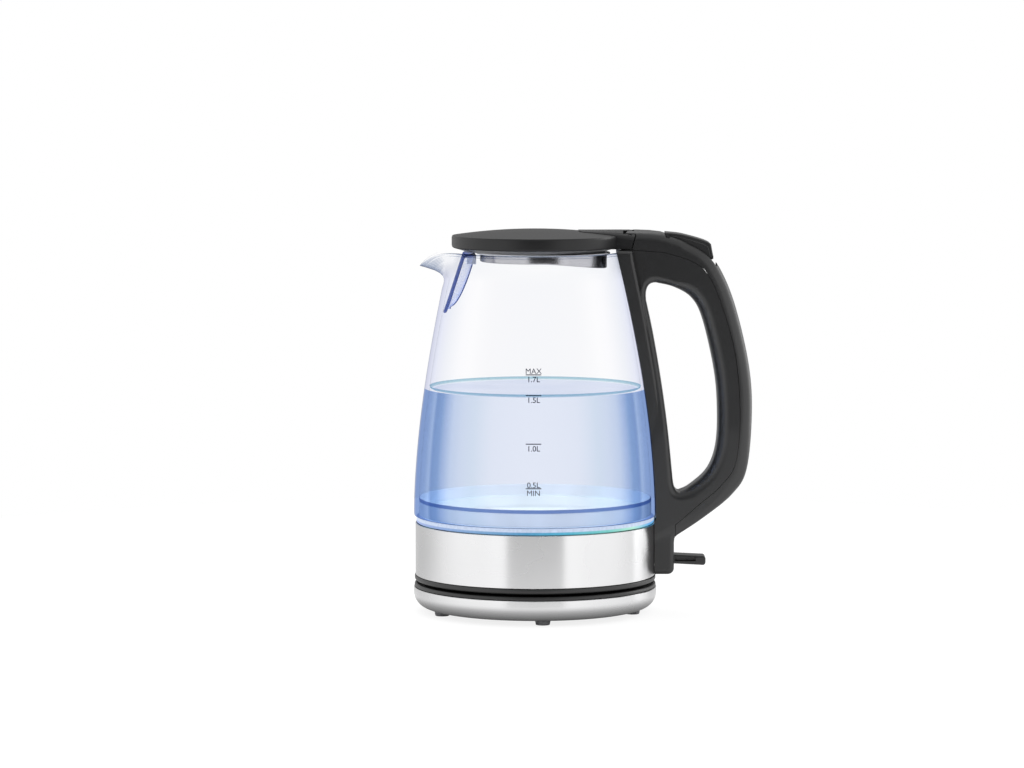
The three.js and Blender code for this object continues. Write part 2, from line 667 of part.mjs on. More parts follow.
// Steel pan under the lid, deeper towards the hinge.
function lidPan() {
  const inner = PAN_R - SHEET;
  const pan = turned([
    [0, 228.4], [PAN_R - 1, 228.4], [PAN_R, 229], [PAN_R, 234.4], [inner, 234.4], [inner, 233], [0, 233],
  ]);
  return bent(pan, (x, y, z) => {
    const back = THREE.MathUtils.clamp((x + 0.3) / PAN_R, 0, 1);
    const low = THREE.MathUtils.clamp((233 - z) / 4, 0, 1);
    return [x + PAN_X, y, z - 4.2 * low * back ** 1.5];
  });
}

function lidSeal() {
  const profile = [[41.8, 233.4], [43.2, 233.4], [43.2, 234.4], [41.8, 234.4]];
  return turned(profile, 32).translate(PAN_X, 0, 0);
}

// ---- Lid button and latch ----

function lidButton() {
  const shape = polygon([
    [84, 247.6], [93, 246.7], [100.8, 244.9], [108.6, 242.6],
    [112.5, 240.9], [113.6, 239.9], [115.1, 231.6],
    [112.6, 231.6], [111, 237.8], [107.4, 239.8], [100, 242], [92, 243.9], [88.4, 244.1], [84.2, 244.6],
  ]);
  const skirtShape = polygon([
    [90, 244.6], [95, 240.6], [104, 236], [110, 231.6], [112.6, 229.6],
    [115, 230.4], [115.1, 232], [113.2, 239.6],
    [107.4, 241], [100, 243],
  ]);
  const skirts = [-1, 1].map((side) => solid(slab(skirtShape, 1.4, { y: side * (KEY_HALF - 1) })));
  const trunnion = solid(rod(1.2, 23.6, KEY_PIVOT_X, KEY_PIVOT_Z, 16));
  return geometryOf(joined([solid(slab(shape, 2 * KEY_HALF, { bevel: 0.8 })), ...skirts, trunnion]));
}

// Sliding bolt that reaches towards the back of the lid's tail.
const lidLatch = () => block(63.7, 94, -LATCH_HALF, LATCH_HALF, LATCH_BOTTOM, LATCH_TOP);

const buttonSpring = () => coil(2.6, 0.8, 6.6, 4).translate(SPRING_X, 0, POST_TOP + GAP + 0.4);

// ---- On/off paddle ----

// A flat loop with a round end, on the pin inside the handle's foot.
function powerPaddle() {
  const shape = polygon([
    [82, 34], [90.4, 31.6], [109.6, 30.6], [111, 32.4], [111, 35], [109.6, 36.6], [90.4, 37.5], [82, 38.3],
  ]);
  const plate = solid(slab(shape, 2 * PADDLE_HALF, { bevel: 1 }));
  const sideSlots = [-1, 1].map((side) => solid(block(91, 104.6, side * 6 - 2, side * 6 + 2, 33.2, 35.9)));
  const eye = solid(rod(2.6, 2 * PADDLE_HALF, PADDLE_X, PADDLE_Z, 16));
  return geometryOf(cutBy(plate.add(eye), [...sideSlots, solid(rod(1.55, 30, PADDLE_X, PADDLE_Z, 16))]));
}

// ---- Assembly ----

add("base_bottom_cover", "black", baseBottomCover());
add("base_trim_ring", "steel", baseTrimRing());
add("base_top_cover", "black", baseTopCover());
add("base_connector", "black", baseConnector());
add("live_contact", "brass", liveContact());
add("neutral_contact", "brass", neutralContact());
add("earth_contact", "brass", earthContact());
add("cord_gland", "dark_rubber", cordGland());
add("base_lead_1", "wire_red", baseLead(-1));
add("base_lead_2", "wire_blue", baseLead(1));
for (let i = 0; i < 3; i += 1) {
  add(`base_screw_${i + 1}`, "spring_steel", baseScrew(), ...screwPoint(i), 3.7);
}
for (let i = 0; i < 5; i += 1) {
  const angle = ((-86 + 72 * i) * Math.PI) / 180;
  const foot = new THREE.CylinderGeometry(5, 4.6, FOOT_H, SMALL).rotateX(Math.PI / 2);
  const x = FOOT_CIRCLE * Math.cos(angle);
  const y = FOOT_CIRCLE * Math.sin(angle);
  add(`foot_${i + 1}`, "grey_rubber", foot, x, y, FOOT_H / 2);
}

add("jug_connector", "black", jugConnector());
add("plug_pin", "brass", plugPin());
add("plug_ring", "brass", plugRing());

add("jug_bottom_cover", "black", jugBottomCover());
add("steel_band", "steel", steelBand());
add("light_ring", "light_guide", lightRing());
add("heating_plate", "steel", heatingPlate());
add("plate_seal", "silicone", plateSeal());
add("heat_spreader", "aluminium", heatSpreader(), 0, 0, -0.1);
add("heating_element", "steel", heatingElement());
add("control_body", "black", controlBody());
add("bimetal_disc_1", "spring_steel", snapDisc(9), -10, -11, 47.4);
add("bimetal_disc_2", "spring_steel", snapDisc(9), -10, 11, 47.4);
add("trip_pin", "spring_steel", tripPin());
add("led_board", "board", ledBoard());
add("led_lead_1", "wire_red", ledLead(-1));
add("led_lead_2", "wire_blue", ledLead(1));
add("glass_body", "glass", glassBody());
add("spout_filter_frame", "blue_clear", filterFrame());
add("spout_filter_mesh", "blue_clear", filterMesh());
add("handle_body", "charcoal", handleBody());
add("handle_cover", "charcoal", handleCover());
add("handle_screw_1", "spring_steel", spineScrew(), 73.6, -SPINE_SCREW_Y, SPINE_SCREW_Z);
add("handle_screw_2", "spring_steel", spineScrew(), 73.6, SPINE_SCREW_Y, SPINE_SCREW_Z);
add("lid_hinge_pin", "spring_steel", hingePin());
add("lid_spring", "spring_steel", lidSpring());
add("button_spring", "spring_steel", buttonSpring());
add("paddle_pin", "spring_steel", paddlePin());
add("steam_tube", "silicone", steamTube());
add("steam_bimetal", "spring_steel", snapDisc(3.4), 84.4, 0, 46.4);

add("lid_cover", "charcoal", lidCover());
add("lid_base", "charcoal", lidBase());
add("lid_seal", "silicone", lidSeal());
add("lid_pan", "steel", lidPan());

add("lid_button", "charcoal", lidButton());
add("lid_latch", "black", lidLatch());
add("trip_lever", "black", tripLever());
add("power_paddle", "charcoal", powerPaddle());

group.position.x = (BODY_R - HANDLE_REACH) / 2;

export default group;
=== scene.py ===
"""A cordless electric kettle: glass jug with a steel band and water, hinged lid, loop handle, powered base.

Shapes are drawn in millimetres around the jug's own axis (+Z up, handle towards +X, spout towards -X)
and placed into the row frame, in metres, by the CAD model's boxes.
"""

import math

import bmesh
import bpy
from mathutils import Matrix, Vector
from mathutils.geometry import tessellate_polygon


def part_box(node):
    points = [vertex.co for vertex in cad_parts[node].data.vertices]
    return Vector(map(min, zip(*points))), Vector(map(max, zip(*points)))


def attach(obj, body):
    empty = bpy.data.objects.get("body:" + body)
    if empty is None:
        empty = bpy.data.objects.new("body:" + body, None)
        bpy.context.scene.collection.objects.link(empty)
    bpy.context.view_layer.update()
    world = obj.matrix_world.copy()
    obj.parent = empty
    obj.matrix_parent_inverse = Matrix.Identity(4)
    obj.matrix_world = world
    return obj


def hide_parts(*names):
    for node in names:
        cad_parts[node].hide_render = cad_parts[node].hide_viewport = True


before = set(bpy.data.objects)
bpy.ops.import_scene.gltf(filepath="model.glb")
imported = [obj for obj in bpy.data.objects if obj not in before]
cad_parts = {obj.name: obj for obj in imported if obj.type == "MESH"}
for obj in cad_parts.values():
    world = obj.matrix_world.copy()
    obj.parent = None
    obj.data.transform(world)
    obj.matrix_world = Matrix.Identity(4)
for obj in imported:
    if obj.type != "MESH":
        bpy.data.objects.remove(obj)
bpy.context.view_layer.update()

scene = bpy.context.scene
band_low, band_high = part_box("steel_band")
AXIS_X = (band_low.x + band_high.x) / 2  # the jug's axis in the row frame, in metres
MM = 0.001
VERY_ROUND = 192  # sides of the glass and the water
ROUND = 144  # sides of the large turned pieces
MEDIUM = 96  # sides of the connector's pieces
FINE = 48  # sides of the small ones


def span(node):
    """Lowest and highest corner of a CAD node, in millimetres around the jug's axis."""
    low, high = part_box(node)
    shift = Vector((AXIS_X, 0, 0))
    return (low - shift) / MM, (high - shift) / MM


def top_of(node):
    return span(node)[1].z


def bottom_of(node):
    return span(node)[0].z


def reach_of(node):
    """Outer radius of a round CAD node about its own middle."""
    low, high = span(node)
    return (high.y - low.y) / 2


BODY_R = reach_of("base_trim_ring")
RING_TOP = top_of("base_trim_ring")
BAND_R = reach_of("steel_band")
BAND_BOTTOM = bottom_of("steel_band")
BAND_TOP = top_of("steel_band")
GLASS_BOTTOM = bottom_of("glass_body")
GLASS_RIM = top_of("glass_body")
GLASS_FOOT = 68  # height at which the wall starts to narrow
GLASS_WALL = 3.2
SPOUT_ROOT = 211  # height at which the spout starts
SPOUT_PUSH = 20.8  # how far its lip is drawn out
SPOUT_CURL = 3.6  # how late it is drawn out, as a power of the rise
SPOUT_DROP = 9
SPOUT_HALF_ANGLE = math.radians(27)
WATER_LEVEL = 145.5
MENISCUS = 2.2  # how far the water creeps up the wall

LID_X = (span("lid_base")[0].x + span("lid_base")[1].x) / 2
LID_R = reach_of("lid_cover")
LID_EDGE = 244.3  # height of the dome's rim
LID_CROWN = top_of("lid_cover")
LID_BOTTOM = 237.8
LID_SEAT = bottom_of("lid_base")
PAN_X = (span("lid_pan")[0].x + span("lid_pan")[1].x) / 2
PAN_R = reach_of("lid_pan")

HINGE_X = (span("lid_hinge_pin")[0].x + span("lid_hinge_pin")[1].x) / 2
HINGE_Z = (span("lid_hinge_pin")[0].z + span("lid_hinge_pin")[1].z) / 2
KNUCKLE_R = 3.2
LID_SWING = 0.9  # room round the knuckle for the lid to turn
TAIL_HALF = reach_of("handle_cover")
WALL = 2.2  # thickness of the moulded shells
GAP = 0.3  # seam between pieces that are fixed together
RUN = 0.4  # room beside pieces that move
EARS = (7.3, 11.9)  # inner and outer side of each hinge ear
PIN_BORE = 1.4
KEY_HALF = 10  # half the width of the lid's release button
KEY_PIVOT = (85.6, 245.4)
LATCH_LOW, LATCH_HIGH = span("lid_latch")
PADDLE_HALF = 7
PADDLE_X = (span("paddle_pin")[0].x + span("paddle_pin")[1].x) / 2
PADDLE_Z = (span("paddle_pin")[0].z + span("paddle_pin")[1].z) / 2


# ---- Materials ----

def new_material(name):
    material = bpy.data.materials.new(name)
    material.use_nodes = True
    nodes = material.node_tree.nodes
    nodes.clear()
    return material, nodes, material.node_tree.links


def object_noise(nodes, links, stretch, scale, detail=3.0):
    """Noise over the piece's own coordinates, stretched along the axes."""
    place = nodes.new("ShaderNodeTexCoord")
    mapping = nodes.new("ShaderNodeMapping")
    mapping.inputs["Scale"].default_value = stretch
    grain = nodes.new("ShaderNodeTexNoise")
    grain.inputs["Scale"].default_value = scale
    grain.inputs["Detail"].default_value = detail
    links.new(place.outputs["Object"], mapping.inputs["Vector"])
    links.new(mapping.outputs["Vector"], grain.inputs["Vector"])
    return grain.outputs["Fac"]


def ramp(nodes, links, factor, stops):
    """A colour ramp of (position, (r, g, b)) stops."""
    node = nodes.new("ShaderNodeValToRGB")
    elements = node.color_ramp.elements
    while len(elements) > 1:
        elements.remove(elements[-1])
    for index, (position, colour) in enumerate(stops):
        element = elements[0] if index == 0 else elements.new(position)
        element.position = position
        element.color = (*colour, 1)
    links.new(factor, node.inputs["Fac"])
    return node.outputs["Color"]


def between(nodes, links, factor, low, high):
    """A noise factor, which stays near its middle, mapped to a range of numbers."""
    return remapped(nodes, links, factor, 0.3, 0.7, low, high)


def remapped(nodes, links, value, low, high, to_low=0.0, to_high=1.0):
    """A value mapped from one range of numbers to another and held inside it."""
    node = nodes.new("ShaderNodeMapRange")
    node.inputs["From Min"].default_value = low
    node.inputs["From Max"].default_value = high
    node.inputs["To Min"].default_value = to_low
    node.inputs["To Max"].default_value = to_high
    links.new(value, node.inputs["Value"])
    return node.outputs["Result"]


def mixed(nodes, links, share, first, second, blend="MIX"):
    """Two colours mixed by a share, which is a number or another node's output."""
    node = nodes.new("ShaderNodeMix")
    node.data_type = "RGBA"
    node.blend_type = blend
    if isinstance(share, (int, float)):
        node.inputs["Factor"].default_value = share
    else:
        links.new(share, node.inputs["Factor"])
    links.new(first, node.inputs[6])
    links.new(second, node.inputs[7])
    return node.outputs[2]


def axes(nodes, links, coordinates="Object"):
    """The three parts of the object's own coordinates, or of the view's direction in the world."""
    place = nodes.new("ShaderNodeTexCoord")
    split = nodes.new("ShaderNodeSeparateXYZ")
    links.new(place.outputs[coordinates], split.inputs["Vector"])
    return split.outputs


def worked_out(nodes, links, operation, *values):
    """A math node; each value is a number or another node's output."""
    node = nodes.new("ShaderNodeMath")
    node.operation = operation
    for socket, value in zip(node.inputs, values):
        if isinstance(value, (int, float)):
            socket.default_value = value
        else:
            links.new(value, socket)
    return node.outputs["Value"]


def bump(nodes, links, factor, strength, distance):
    node = nodes.new("ShaderNodeBump")
    node.inputs["Strength"].default_value = strength
    node.inputs["Distance"].default_value = distance
    links.new(factor, node.inputs["Height"])
    return node.outputs["Normal"]


def principled(nodes, links):
    shader = nodes.new("ShaderNodeBsdfPrincipled")
    output = nodes.new("ShaderNodeOutputMaterial")
    links.new(shader.outputs["BSDF"], output.inputs["Surface"])
    return shader


def tinted(colour, share):
    return tuple(channel * share for channel in colour)


def moulded(name, colour, roughness, grain=0.12, coarse=1400.0, level=0.5):
    """Moulded plastic or rubber: a fine spark-eroded grain and slow changes of tone and gloss."""
    material, nodes, links = new_material(name)
    shader = principled(nodes, links)
    tone = object_noise(nodes, links, (1, 1, 1), 35.0)
    fine = object_noise(nodes, links, (1, 1, 1), coarse, 4.0)
    colours = ramp(nodes, links, tone, [(0.3, tinted(colour, 0.9)), (0.7, tinted(colour, 1.1))])
    links.new(colours, shader.inputs["Base Color"])
    links.new(between(nodes, links, fine, roughness - 0.04, roughness + 0.05), shader.inputs["Roughness"])
    links.new(bump(nodes, links, fine, grain, 0.00012), shader.inputs["Normal"])
    shader.inputs["Specular IOR Level"].default_value = level
    return material


def brushed(name, colour, roughness, stretch, strength=0.1, anisotropic=0.7):
    """Metal with fine lines; stretch gives the direction that they run in."""
    material, nodes, links = new_material(name)
    shader = principled(nodes, links)
    lines = object_noise(nodes, links, stretch, 1.0, 5.0)
    slow = object_noise(nodes, links, (1, 1, 1), 18.0)
    colours = ramp(nodes, links, lines, [(0.3, tinted(colour, 0.95)), (0.7, tinted(colour, 1.04))])
    links.new(colours, shader.inputs["Base Color"])
    links.new(between(nodes, links, slow, roughness - 0.03, roughness + 0.04), shader.inputs["Roughness"])
    links.new(bump(nodes, links, lines, strength, 0.00004), shader.inputs["Normal"])
    around = nodes.new("ShaderNodeTangent")
    around.direction_type = "RADIAL"
    around.axis = "Z"
    links.new(around.outputs["Tangent"], shader.inputs["Tangent"])
    shader.inputs["Metallic"].default_value = 1.0
    shader.inputs["Anisotropic"].default_value = anisotropic
    shader.inputs["Anisotropic Rotation"].default_value = 0.25
    return material


def by_height(nodes, links, low, high, below, above):
    """Mixes two colours over the height of the object, from low to high in millimetres."""
    share = remapped(nodes, links, axes(nodes, links)["Z"], low * MM, high * MM)
    return mixed(nodes, links, share, below, above)


def facing(nodes):
    weight = nodes.new("ShaderNodeLayerWeight")
    weight.inputs["Blend"].default_value = 0.5
    return weight.outputs["Facing"]


def one_way(nodes, links, tint, gloss, roughness):
    """Clear wall that tints and shines where light enters it and lets it leave unchanged."""
    clear = nodes.new("ShaderNodeBsdfTransparent")
    links.new(tint, clear.inputs["Color"])
    shine = nodes.new("ShaderNodeBsdfGlossy")
    shine.inputs["Roughness"].default_value = roughness
    edge = nodes.new("ShaderNodeLayerWeight")
    edge.inputs["Blend"].default_value = gloss
    front = nodes.new("ShaderNodeMixShader")
    links.new(edge.outputs["Fresnel"], front.inputs["Fac"])
    links.new(clear.outputs["BSDF"], front.inputs[1])
    links.new(shine.outputs["BSDF"], front.inputs[2])
    side = nodes.new("ShaderNodeNewGeometry")
    back = nodes.new("ShaderNodeBsdfTransparent")
    whole = nodes.new("ShaderNodeMixShader")
    output = nodes.new("ShaderNodeOutputMaterial")
    links.new(side.outputs["Backfacing"], whole.inputs["Fac"])
    links.new(front.outputs["Shader"], whole.inputs[1])
    links.new(back.outputs["BSDF"], whole.inputs[2])
    links.new(whole.outputs["Shader"], output.inputs["Surface"])


def wall_tint(nodes, links, stops):
    """Tint of the jug's wall, by how far from face on it is seen."""
    return ramp(nodes, links, facing(nodes), stops)


def steepness(nodes, links):
    """0 on an upright wall and 1 on a level surface."""
    direction = nodes.new("ShaderNodeNewGeometry")
    split = nodes.new("ShaderNodeSeparateXYZ")
    links.new(direction.outputs["True Normal"], split.inputs["Vector"])
    return worked_out(nodes, links, "ABSOLUTE", split.outputs["Z"])


def jug_glass():
    """Outside of the glass: it looks filled with blue water up to its level, with painted lighter and darker
    columns by how far from face on it is seen; the lip darkens towards its edges with painted shade, and
    level faces are painted darker.
    """
    material, nodes, links = new_material("jug_glass")
    # The water's blue tint, with painted lighter and darker columns by facing.
    water_tint_and_painted_columns = wall_tint(nodes, links, [
        (0.0, (0.76, 0.805, 0.92)), (0.07, (0.735, 0.785, 0.905)), (0.15, (0.64, 0.725, 0.86)),
        (0.22, (0.61, 0.69, 0.85)), (0.3, (0.53, 0.625, 0.82)), (0.36, (0.39, 0.5, 0.75)),
        (0.43, (0.23, 0.355, 0.63)), (0.5, (0.2, 0.315, 0.59)), (0.545, (0.33, 0.45, 0.715)),
        (0.62, (0.245, 0.36, 0.635)), (0.82, (0.215, 0.32, 0.6)), (0.95, (0.4, 0.46, 0.65)),
    ])
    empty = wall_tint(nodes, links, [
        (0.0, (0.925, 0.932, 0.957)), (0.1, (0.937, 0.94, 0.96)), (0.22, (0.978, 0.978, 0.99)),
        (0.3, (0.965, 0.965, 0.985)), (0.45, (0.88, 0.895, 0.94)), (0.62, (0.8, 0.82, 0.92)),
        (0.8, (0.68, 0.7, 0.84)), (0.95, (0.56, 0.58, 0.72)),
    ])
    # Painted shade at the lip: darker towards its edges, near black where seen edge on.
    lip = wall_tint(nodes, links, [
        (0.0, (0.95, 0.955, 0.97)), (0.4, (0.9, 0.91, 0.94)), (0.6, (0.7, 0.72, 0.79)),
        (0.8, (0.36, 0.38, 0.45)), (1.0, (0.06, 0.07, 0.1)),
    ])
    lower = by_height(nodes, links, WATER_LEVEL + 0.5, WATER_LEVEL + 0.9, water_tint_and_painted_columns, empty)
    wall = by_height(nodes, links, 217, 226, lower, lip)
    # Painted shade on level faces, such as the bead's top and the heel.
    level_faces_painted_shade = ramp(nodes, links, steepness(nodes, links), [
        (0.35, (1, 1, 1)), (0.7, (0.5, 0.55, 0.65)), (1.0, (0.26, 0.31, 0.4)),
    ])
    one_way(nodes, links, mixed(nodes, links, 1, wall, level_faces_painted_shade, "MULTIPLY"), 0.02, 0.02)
    return material


def inner_glass():
    """Inside of the glass wall, clear but for a faint tint where it is seen edge on."""
    material, nodes, links = new_material("inner_glass")
    tint = wall_tint(nodes, links, [(0.0, (1, 1, 1)), (0.7, (0.99, 0.992, 1)), (1.0, (0.95, 0.96, 0.985))])
    one_way(nodes, links, tint, 0.01, 0.03)
    return material


def water_skin():
    """Water drawn by its surface: the flat top is pale blue and its curled edge carries a painted dark teal
    line of shade; the sides are clear.
    """
    material, nodes, links = new_material("water")
    upright = steepness(nodes, links)
    slow = object_noise(nodes, links, (1, 1, 1), 22.0)
    top = ramp(nodes, links, slow, [(0.35, (0.71, 0.765, 0.9)), (0.65, (0.77, 0.815, 0.93))])
    # Painted shade: a dark teal line where the water's edge curls up the glass, paler towards the flat top.
    edge = ramp(nodes, links, upright, [
        (0.0, (1, 1, 1)), (0.2, (1, 1, 1)), (0.3, (0.4, 0.6, 0.7)), (0.9, (0.6, 0.76, 0.83)),
        (0.985, (0.88, 0.92, 0.98)), (0.995, (1, 1, 1)),
    ])
    tint = mixed(nodes, links, remapped(nodes, links, upright, 0.98, 0.999), edge, top)
    plain = ramp(nodes, links, slow, [(0.0, (1, 1, 1))])
    clear = nodes.new("ShaderNodeBsdfTransparent")
    shown = by_height(nodes, links, WATER_LEVEL - 2, WATER_LEVEL - 1, plain, tint)
    links.new(shown, clear.inputs["Color"])
    output = nodes.new("ShaderNodeOutputMaterial")
    links.new(clear.outputs["BSDF"], output.inputs["Surface"])
    return material


def painted_glow_material(name, colour, painted_glow, roughness=0.4, metallic=0.0):
    """Pale material with a painted glow: it emits its own colour at the given strength, to look lit by the
    ring of lights under the jug.
    """
    material, nodes, links = new_material(name)
    shader = principled(nodes, links)
    slow = object_noise(nodes, links, (1, 1, 1), 40.0)
    colours = ramp(nodes, links, slow, [(0.3, tinted(colour, 0.94)), (0.7, tinted(colour, 1.04))])
    links.new(colours, shader.inputs["Base Color"])
    links.new(colours, shader.inputs["Emission Color"])
    shader.inputs["Emission Strength"].default_value = painted_glow
    shader.inputs["Metallic"].default_value = metallic
    fine = object_noise(nodes, links, (1, 1, 1), 600.0)
    links.new(between(nodes, links, fine, roughness - 0.05, roughness + 0.05), shader.inputs["Roughness"])
    return material


def glowing(name):
    """Frosted light guide: pale, with lights at its foot from violet through cyan and green to blue."""
    material, nodes, links = new_material(name)
    shader = principled(nodes, links)
    reach = BAND_R * MM
    along = remapped(nodes, links, axes(nodes, links)["X"], AXIS_X - reach, AXIS_X + reach)
    colours = ramp(nodes, links, along, [
        (0.0, (0.28, 0.36, 0.68)), (0.28, (0.15, 0.32, 0.56)), (0.45, (0.05, 0.26, 0.48)),
        (0.62, (0.04, 0.38, 0.56)), (0.8, (0.14, 0.56, 0.5)), (0.9, (0.4, 0.78, 0.6)),
        (0.97, (0.1, 0.4, 0.79)),
    ])
    frost = object_noise(nodes, links, (1, 1, 1), 500.0)
    pale = ramp(nodes, links, frost, [(0.3, (0.5, 0.58, 0.75)), (0.7, (0.58, 0.66, 0.83))])
    dark = ramp(nodes, links, frost, [(0.3, (0.01, 0.02, 0.03)), (0.7, (0.05, 0.07, 0.1))])
    shown = by_height(nodes, links, BAND_TOP + 2.0, BAND_TOP + 2.5, colours, pale)
    links.new(dark, shader.inputs["Base Color"])
    links.new(shown, shader.inputs["Emission Color"])
    shader.inputs["Emission Strength"].default_value = 0.95
    links.new(between(nodes, links, frost, 0.3, 0.5), shader.inputs["Roughness"])
    return material


CHARCOAL = moulded("charcoal_plastic", (0.0145, 0.0146, 0.0152), 0.36, level=0.48)
# A darker copy of the charcoal plastic for the lid: its darker base colour is painted shade, and its lower
# specular level makes it less glossy.
LID_CHARCOAL_PAINTED_SHADE = moulded("lid_charcoal_painted_shade", (0.0118, 0.0119, 0.0125), 0.4, level=0.27)
BLACK = moulded("black_plastic", (0.007, 0.007, 0.0075), 0.4)
FOOT = moulded("foot_rubber", (0.2, 0.2, 0.21), 0.7, 0.3, 900.0, 0.3)
GLAND = moulded("gland_rubber", (0.02, 0.02, 0.02), 0.6, 0.3, 900.0, 0.3)
SILICONE = moulded("silicone", (0.72, 0.74, 0.78), 0.5, 0.1)
BOARD = moulded("circuit_board", (0.04, 0.2, 0.09), 0.4, 0.2)
RED_WIRE = moulded("wire_red", (0.4, 0.04, 0.03), 0.45)
BLUE_WIRE = moulded("wire_blue", (0.04, 0.08, 0.4), 0.45)
INK = moulded("gauge_ink", (0.006, 0.009, 0.035), 0.7, 0.05, level=0.1)
FILTER_BLUE = moulded("filter_frame_blue", (0.05, 0.085, 0.29), 0.3, 0.05)
TAB_GREY = moulded("filter_tab_grey", (0.42, 0.46, 0.56), 0.35, 0.05)
BAND_STEEL = brushed("brushed_band_steel", (0.6, 0.6, 0.605), 0.26, (0.5, 0.5, 4200), 0.006, 0.85)
PAN_STEEL = brushed("polished_pan_steel", (0.36, 0.36, 0.375), 0.24, (40, 40, 900), 0.02, 0.3)
SPRING_STEEL = brushed("spring_steel", (0.5, 0.5, 0.51), 0.22, (300, 2500, 300), 0.06, 0.2)
BRASS = brushed("contact_brass", (0.78, 0.56, 0.22), 0.25, (400, 400, 2500), 0.05, 0.2)
ALUMINIUM = brushed("cast_aluminium", (0.6, 0.6, 0.61), 0.45, (700, 700, 700), 0.2, 0.0)
GLASS = jug_glass()
INNER_GLASS = inner_glass()
WATER = water_skin()
# The steel floor and the seal's pieces carry a painted glow that makes them look brightly lit.
STEEL_FLOOR_PAINTED_GLOW = painted_glow_material("steel_floor_painted_glow", (0.78, 0.82, 0.81), 0.42, 0.45, 0.2)
SEAL_PAINTED_GLOW = painted_glow_material("silicone_painted_glow", (0.72, 0.76, 0.78), 0.45)
SEAL_FACE_PAINTED_GLOW = painted_glow_material("silicone_face_painted_glow", (0.42, 0.47, 0.53), 0.6)
SEAL_BAND_PAINTED_GLOW = painted_glow_material("dark_blue_seal_band_painted_glow", (0.1, 0.16, 0.32), 0.6)
MESH_BLUE = moulded("filter_mesh_blue", (0.55, 0.63, 0.92), 0.5, 0.05)
LIGHT_GUIDE = glowing("light_guide")


# ---- Meshes ----

def evaluated(holder):
    """The mesh that an object makes with its modifiers or its curve's depth."""
    return bpy.data.meshes.new_from_object(holder.evaluated_get(bpy.context.evaluated_depsgraph_get()))


def closed_mesh(name, points, faces):
    """A mesh in millimetres with its faces turned outwards."""
    mesh = bpy.data.meshes.new(name)
    mesh.from_pydata(points, [], faces)
    shape = bmesh.new()
    shape.from_mesh(mesh)
    bmesh.ops.remove_doubles(shape, verts=shape.verts, dist=1e-4)
    bmesh.ops.dissolve_degenerate(shape, edges=shape.edges, dist=1e-5)
    bmesh.ops.recalc_face_normals(shape, faces=shape.faces)
    shape.to_mesh(mesh)
    shape.free()
    return mesh


def show(name, mesh, material, body, stands_for=(), sharp=32):
    """Turns a mesh in millimetres into a piece that rides on a body and stands for CAD nodes."""
    for vertex in mesh.vertices:
        x, y, z = vertex.co
        vertex.co = (x * MM + AXIS_X, y * MM, z * MM)
    mesh.materials.clear()
    mesh.materials.append(material)
    mesh.shade_smooth()
    mesh.set_sharp_from_angle(angle=math.radians(sharp))
    piece = bpy.data.objects.new(name, mesh)
    scene.collection.objects.link(piece)
    weighted = piece.modifiers.new("even_normals", "WEIGHTED_NORMAL")
    weighted.keep_sharp = True
    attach(piece, body)
    if stands_for:
        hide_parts(*stands_for)
    return piece


def fillet(profile, radius, steps=4):
    """Rounds the inner corners of an open profile of [across, up] points."""
    rounded = [profile[0]]
    for before, corner, after in zip(profile, profile[1:], profile[2:]):
        a, p, b = Vector(before), Vector(corner), Vector(after)
        reach = min(radius, (a - p).length * 0.45, (b - p).length * 0.45)
        start = p + (a - p).normalized() * reach
        end = p + (b - p).normalized() * reach
        for i in range(steps + 1):
            t = i / steps
            rounded.append(tuple(start * (1 - t) ** 2 + p * (2 * t * (1 - t)) + end * t * t))
    rounded.append(profile[-1])
    return rounded


def loop_fillet(profile, radius, steps=4):
    """Rounds every corner of a closed profile."""
    ring = [profile[-1], *profile, profile[0]]
    return fillet(ring, radius, steps)[1:-1]


def turned(name, profile, sides=ROUND, rule=None):
    """Turns [radius, height] points about Z; the ends are on the axis, or the points are a closed loop."""
    on_axis = profile[0][0] == 0
    points = []
    rows = []
    for radius, height in profile:
        if radius < 1e-6:
            rows.append([len(points)] * sides)
            points.append((0, 0, height))
            continue
        rows.append(list(range(len(points), len(points) + sides)))
        for i in range(sides):
            angle = 2 * math.pi * i / sides
            points.append((radius * math.cos(angle), radius * math.sin(angle), height))
    pairs = list(zip(rows, rows[1:]))
    if not on_axis:
        pairs.append((rows[-1], rows[0]))
    faces = []
    for lower, upper in pairs:
        for i in range(sides):
            j = (i + 1) % sides
            corners = list(dict.fromkeys([lower[i], lower[j], upper[j], upper[i]]))
            if len(corners) > 2:
                faces.append(corners)
    if rule:
        points = [rule(*point) for point in points]
    return closed_mesh(name, points, faces)


def spline(points, per_span=8):
    """A smooth curve through the points."""
    line = []
    for i in range(len(points) - 1):
        a = Vector(points[max(i - 1, 0)])
        b, c = Vector(points[i]), Vector(points[i + 1])
        d = Vector(points[min(i + 2, len(points) - 1)])
        out, into = (c - a) / 2, (d - b) / 2
        cubic = 2 * b - 2 * c + out + into
        square = 3 * c - 3 * b - 2 * out - into
        for k in range(per_span):
            t = k / per_span
            line.append(tuple(cubic * t**3 + square * t**2 + out * t + b))
    line.append(tuple(points[-1]))
    return line


def slab(name, loops, width, bevel=0.0, inset=0.0, y=0.0, rule=None):
    """Loops of [x, z] points, the first solid and the rest holes, drawn out across Y with round edges."""
    curve = bpy.data.curves.new(name, "CURVE")
    curve.dimensions = "2D"
    curve.fill_mode = "BOTH"
    curve.extrude = width / 2 - bevel
    curve.bevel_depth = bevel
    curve.bevel_resolution = 5
    curve.offset = -bevel - inset
    for loop in loops:
        line = curve.splines.new("POLY")
        line.points.add(len(loop) - 1)
        for point, (x, z) in zip(line.points, loop):
            point.co = (x, z, 0, 1)
        line.use_cyclic_u = True
    holder = bpy.data.objects.new(name, curve)
    scene.collection.objects.link(holder)
    drawn = evaluated(holder)
    points = [(v.co.x, y - v.co.z, v.co.y) for v in drawn.vertices]
    if rule:
        points = [rule(*point) for point in points]
    faces = [list(face.vertices) for face in drawn.polygons]
    bpy.data.objects.remove(holder)
    return closed_mesh(name, points, faces)


